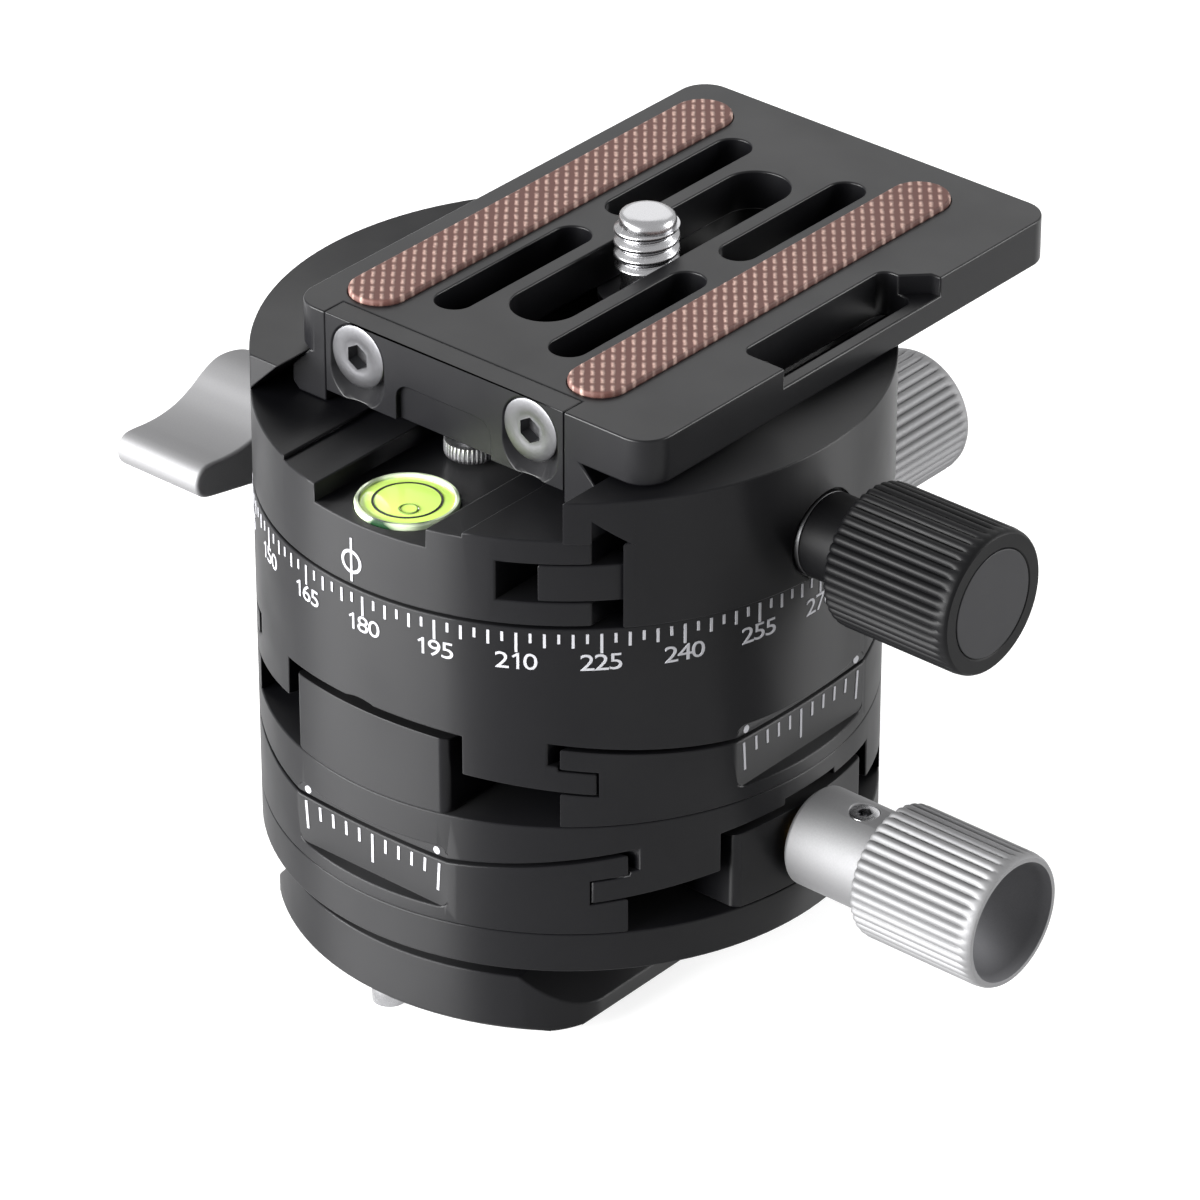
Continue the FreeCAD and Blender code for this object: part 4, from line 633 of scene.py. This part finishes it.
def figure(bm, digit, height, across, up):
    """One figure in the XZ plane, centred on a place; a 1 is a stem with a slanting flag."""
    if digit == "1":
        stroke(bm, across + 0.16, up, 0.25, height)
        stroke(bm, across - 0.08, up + 0.34 * height, 0.62, 0.20, math.radians(-36))
        return
    curve = bpy.data.curves.new("figure", "FONT")
    curve.body = digit
    curve.align_x = "CENTER"
    curve.align_y = "CENTER"
    curve.extrude = mark_half
    curve.resolution_u = 4
    holder = bpy.data.objects.new("figure", curve)
    bpy.context.scene.collection.objects.link(holder)
    mesh = bpy.data.meshes.new_from_object(holder)
    old = set(bm.verts)
    bm.from_mesh(mesh)
    new = [vert for vert in bm.verts if vert not in old]
    top, bottom = max(vert.co.y for vert in new), min(vert.co.y for vert in new)
    grow = height / (top - bottom)
    bmesh.ops.translate(bm, verts=new, vec=(0, -(top + bottom) / 2, 0))
    bmesh.ops.scale(bm, verts=new, vec=(wide_figures * grow, grow, 1.0))
    swing(bm, new, math.pi / 2, "X")
    bmesh.ops.translate(bm, verts=new, vec=(across, 0, up))
    bpy.data.objects.remove(holder)
    bpy.data.meshes.remove(mesh)


def wrap(bm, start):
    """Bend the XZ plane round the drum, with X as the way along it from a start angle."""
    for vert in bm.verts:
        angle = math.radians(start) + vert.co.x / drum_radius
        reach = drum_radius + proud - vert.co.y
        vert.co.x, vert.co.y = reach * math.cos(angle), reach * math.sin(angle)


marking = laser_marking("laser_bared_marking", "#8E8E92")
drum_radius, drum_top, proud = 30.0, 45.0, 0.02
per_degree = drum_radius * math.pi / 180
line_width, figure_height, figure_level, figure_pitch = 0.26, 1.7, 42.0, 1.32
scale = bmesh.new()
for tick in range(144):
    value = tick * 2.5
    length = 2.05 if value % 15 == 0 else (1.45 if value % 5 == 0 else 1.0)
    stroke(scale, value * per_degree, drum_top - length / 2, line_width, length)
for value in range(0, 360, 15):
    figures = str(value)
    for place, digit in enumerate(figures):
        offset = (place - (len(figures) - 1) / 2) * figure_pitch
        figure(scale, digit, figure_height, value * per_degree + offset, figure_level)
wrap(scale, -90 + 1.31 - 180)
finish("pan_scale", scale, marking, "upper_stage")

index = turned([(0.93, -mark_half), (1.25, -mark_half), (1.25, mark_half), (0.93, mark_half)], 48)
swing(index, index.verts, math.pi / 2, "X")
move(index, 0, 0, 48.3)
stroke(index, 0, 48.5, line_width, 4.6)
wrap(index, -91.1)
finish("pan_index", index, marking, "panning_clamp")


def pour(whole, bm):
    """Add a bmesh to another one, and free it."""
    spare = bpy.data.meshes.new("spare")
    bm.to_mesh(spare)
    bm.free()
    whole.from_mesh(spare)
    bpy.data.meshes.remove(spare)


def stage_scale(name, seat, body, seam_body, turn):
    """Eleven lines fanned below a stage's seam, and a dot over the seam at each long end line."""
    flat, arc, pivot = 28.52, 120.5, seat + 126.75
    pitch, width, dot_radius = 1.64, 0.29, 0.40
    lines = bmesh.new()
    for number in range(-5, 6):
        lean = math.asin(number * pitch / arc)
        length = {0: 3.15, 5: 3.05}.get(abs(number), 1.5)
        reach = arc + 0.35 + length / 2
        stroke(lines, reach * math.sin(lean), pivot - reach * math.cos(lean), width, length, lean)
    dots = bmesh.new()
    for number in (-5, 5):
        lean = math.asin(number * pitch / arc)
        dot = turned([(0, -mark_half), (dot_radius, -mark_half), (dot_radius, mark_half),
                      (0, mark_half)], 20)
        swing(dot, dot.verts, math.pi / 2, "X")
        move(dot, (arc - 1.0) * math.sin(lean), 0, pivot - (arc - 1.0) * math.cos(lean))
        pour(dots, dot)
    for bm, kind, rider in ((lines, "lines", body), (dots, "dots", seam_body)):
        move(bm, 0, -flat - proud, 0)
        swing(bm, bm.verts, turn, "Z")
        finish(name + "_" + kind, bm, marking, rider)


stage_scale("lower_scale", 12.15, "base", "lower_stage", 0)
stage_scale("upper_scale", 24.05, "lower_stage", "upper_stage", math.pi / 2)

# Camera plate fittings: the two woven rubber strips, laid in shallow recesses in the plate's top,
# the stopper's countersunk screws and the knurled safety screws that are driven in from below.


def woven_rubber(name, colour, pale):
    """Brown rubber faced with cloth: rows of pale slanting stitches about a millimetre apart."""
    material, tree = new_material(name)
    place = add_node(tree, "ShaderNodeTexCoord")
    across_mm, along_mm = 0.94, 1.45
    one_band = 0.314  # the width of a Wave texture's band at scale 1: a twentieth of a full turn
    waves = []
    for turn, pitch in ((-40, across_mm), (-130, along_mm)):
        aligned = add_node(tree, "ShaderNodeMapping", {"Vector": place.outputs["Object"],
                                                       "Rotation": (0, 0, math.radians(turn))})
        waves.append(add_node(tree, "ShaderNodeTexWave",
                              {"Vector": aligned.outputs[0], "Scale": one_band / (pitch * MM),
                               "Distortion": 0.8, "Detail": 2.0, "Detail Scale": 3.0}))
    gaps = add_node(tree, "ShaderNodeMapRange", {"Value": waves[1].outputs["Fac"], "From Max": 0.60,
                                                 "To Min": 0.08})
    stitches = add_node(tree, "ShaderNodeMapRange", {"Value": waves[0].outputs["Fac"],
                                                     "From Min": 0.45})
    woven = add_node(tree, "ShaderNodeMath", {0: stitches.outputs["Result"],
                                              1: gaps.outputs["Result"]}, operation="MULTIPLY")
    dust = add_node(tree, "ShaderNodeTexNoise",
                    {"Vector": place.outputs["Object"], "Scale": 3500.0, "Detail": 3.0})
    shade = add_node(tree, "ShaderNodeMapRange",
                     {"Value": dust.outputs["Fac"], "From Min": 0.3, "From Max": 0.6,
                      "To Min": 0.55})
    thread = add_node(tree, "ShaderNodeMath", {0: woven.outputs[0], 1: shade.outputs["Result"]},
                      operation="MULTIPLY")
    tint = add_node(tree, "ShaderNodeMix", {"Factor": thread.outputs[0], 6: srgb(colour),
                                            7: srgb(pale)}, data_type="RGBA")
    weave = add_node(tree, "ShaderNodeBump", {"Height": woven.outputs[0], "Strength": 0.5,
                                              "Distance": 0.12 * MM})
    surface = add_node(tree, "ShaderNodeBsdfPrincipled",
                       {"Base Color": tint.outputs[2], "Roughness": 0.75,
                        "Normal": weave.outputs[0]})
    add_node(tree, "ShaderNodeOutputMaterial", {"Surface": surface.outputs[0]})
    return material


rubber = woven_rubber("woven_brown_rubber", "#46261F", "#A58A80")
for part in ("rubber_strip_left", "rubber_strip_right"):
    machined(part, rubber, 0.22)
bright_screws = bright_metal("zinc_plated_steel", "#58585A", 0.38, 0.35)


def draw_rings(bm, edges, rings):
    """Draw open edges on through round rings of radius and height, and give back the last one."""
    for radius, level in rings:
        made = bmesh.ops.extrude_edge_only(bm, edges=edges)["geom"]
        edges = only(BMEdge, made)
        for vert in only(BMVert, made):
            flat = Vector((vert.co.x, vert.co.y)).normalized() * radius
            vert.co = (flat.x, flat.y, level)
    return edges


def socket_head(across, sink, rings):
    """A screw with a hexagon socket, face up: its rings of radius and height go outwards."""
    bm = bmesh.new()
    hexagon = bmesh.ops.create_circle(bm, segments=6, radius=across / math.sqrt(3))["verts"]
    sides = list({edge for vert in hexagon for edge in vert.link_edges})
    bmesh.ops.subdivide_edges(bm, edges=sides, cuts=7)
    mouth = bm.edges[:]
    well = bmesh.ops.extrude_edge_only(bm, edges=mouth)["geom"]
    bmesh.ops.translate(bm, verts=only(BMVert, well), vec=(0, 0, -sink))
    bmesh.ops.holes_fill(bm, edges=only(BMEdge, well), sides=0)
    end = draw_rings(bm, mouth, rings)
    bmesh.ops.holes_fill(bm, edges=end, sides=0)
    return bm


def joined(name, copies, material, body):
    """One piece of several separate solids."""
    whole = bmesh.new()
    for bm in copies:
        pour(whole, bm)
    return finish(name, whole, material, body)


collar_middle, collar_top = 36.4, 4.78
for stage, x, y, z in (("lower", collar_middle, 0, 16.9), ("upper", 0, collar_middle, 28.8)):
    grub = socket_head(1.3, 1.2, [(1.15, 0.0), (1.40, -0.06), (1.48, -0.2), (1.48, -2.7)])
    grub = finish(stage + "_grub_screw", move(grub, x, y, z + collar_top), steel,
                  stage + "_drive")
    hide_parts(stage + "_knob_screw")

plate_middle, stopper_screw_half, stopper_face = 0.05, 10.6, -17.87
heads = []
for side in (-1, 1):
    head = socket_head(2.3, 1.25, [(1.62, -0.02), (1.72, 0.0), (2.95, 0.0), (3.14, -0.06),
                                   (3.2, -0.16), (1.52, -1.80), (1.5, -1.9), (1.49, -7.5)])
    swing(head, head.verts, math.pi / 2, "X")
    heads.append(move(head, plate_middle + side * stopper_screw_half, stopper_face, 61.0))
heads = joined("stopper_socket_screws", heads, bright_screws, "plate")
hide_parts("stopper_screws")

nickel = bright_metal("nickel_plated_steel", "#DADADC", 0.30)
knurled = []
for y in (-14.0, 38.2):
    head = turned([(0, 53.1), (2.3, 53.1), (2.5, 53.25)] + [(2.6, 53.4 + 0.2 * s) for s in range(6)]
                  + [(2.55, 54.75), (2.3, 54.85), (0.98, 54.85), (0.98, 59.0), (0, 59.0)], 6 * 36)
    cut_ribs(head, 36, 2.3, 0.22, 53.2, 54.8, 0.2)
    knurled.append(move(head, plate_middle, y, 0))
knurled = joined("knurled_safety_screws", knurled, nickel, "plate")
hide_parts("plate_safety_screws")

# Camera screw, a quarter inch by twenty threads to the inch, with a flat head under the plate and
# a rolled thread above it, and the three-eighths by sixteen bush that is pressed into the foot.
# Both are steel.


def thread_sheet(profile, pitch, turns):
    """One pitch of a thread's profile wound up about Z, so that each turn joins the next."""
    per_turn = 48
    bm = bmesh.new()
    ring = [bm.verts.new((radius, 0, height)) for radius, height in profile]
    edges = [bm.edges.new(pair) for pair in zip(ring, ring[1:])]
    bmesh.ops.spin(bm, geom=ring + edges, cent=(0, 0, 0), axis=(0, 0, 1), angle=math.tau * turns,
                   steps=per_turn * turns, dvec=(0, 0, pitch / per_turn))
    bmesh.ops.remove_doubles(bm, verts=bm.verts, dist=0.001)
    return bm


def trim(bm, low, high):
    """Cut the sheet off square at two heights, and give back its two open edges."""
    for height, facing in ((low, -1), (high, 1)):
        cut_away(bm, (0, 0, height), (0, 0, facing))
    return [[edge for edge in bm.edges if edge.is_boundary
             and all(abs(vert.co.z - height) < 0.001 for vert in edge.verts)]
            for height in (low, high)]


def cap_end(bm, edges, steps):
    """Close an open end by rings drawn in and lifted, for a chamfer and a flat face."""
    for shrink, lift in steps:
        made = bmesh.ops.extrude_edge_only(bm, edges=edges)["geom"]
        edges = only(BMEdge, made)
        for vert in only(BMVert, made):
            flat = Vector((vert.co.x, vert.co.y))
            flat *= min(1.0, shrink / flat.length)
            vert.co.x, vert.co.y = flat
            vert.co.z += lift
    bmesh.ops.holes_fill(bm, edges=edges, sides=0)


screw_y, screw_pitch = 11.2, 25.4 / 20
thread = thread_sheet([(2.62, 0.0), (2.66, 0.14), (3.08, 0.48), (3.15, 0.60), (3.15, 0.80),
                       (3.08, 0.92), (2.66, 1.20), (2.62, screw_pitch)], screw_pitch, 6)
move(thread, 0, 0, 61.2 - screw_pitch)
low_end, high_end = trim(thread, 62.9, 67.1)
cap_end(thread, high_end, ((2.86, 0.0), (2.86, 0.42), (2.76, 0.32), (2.52, 0.26), (2.16, 0.20),
                           (1.70, 0.10)))
cap_end(thread, low_end, ((2.45, 0.0),))
finish("camera_screw_thread", move(thread, plate_middle, screw_y, 0), steel,
       "camera_fixing", 40)
head_floor, head_top, shank_radius, shank_top = 57.30, 59.30, 2.49, 64.10
camera_head = turned([(0, head_floor), (4.4, head_floor), (4.6, head_floor + 0.20), (4.6, 59.20),
                      (4.5, head_top), (shank_radius, head_top), (shank_radius, shank_top),
                      (0, shank_top)])
camera_head = finish("camera_screw_head", move(camera_head, plate_middle, screw_y, 0), steel,
                     "camera_fixing")
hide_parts("camera_screw")

bush_pitch, bush_top, relief_top = 25.4 / 16, 8.0, 0.35
bush = thread_sheet([(4.0, 0.0), (4.0, 0.2), (4.66, 0.68), (4.66, 0.90), (4.0, 1.38),
                     (4.0, bush_pitch)], bush_pitch, 8)
move(bush, 0, 0, -bush_pitch)
low_end, high_end = trim(bush, relief_top, bush_top)
draw_rings(bush, low_end, ((4.9, relief_top), (4.9, 0.0), (6.35, 0.0)))
draw_rings(bush, high_end, ((5.2, bush_top), (5.8, bush_top), (6.49, bush_top)))
bmesh.ops.bridge_loops(bush, edges=[edge for edge in bush.edges if edge.is_boundary])
bush = finish("tripod_thread", bush, steel, "base", 40)
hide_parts("tripod_thread_bush")
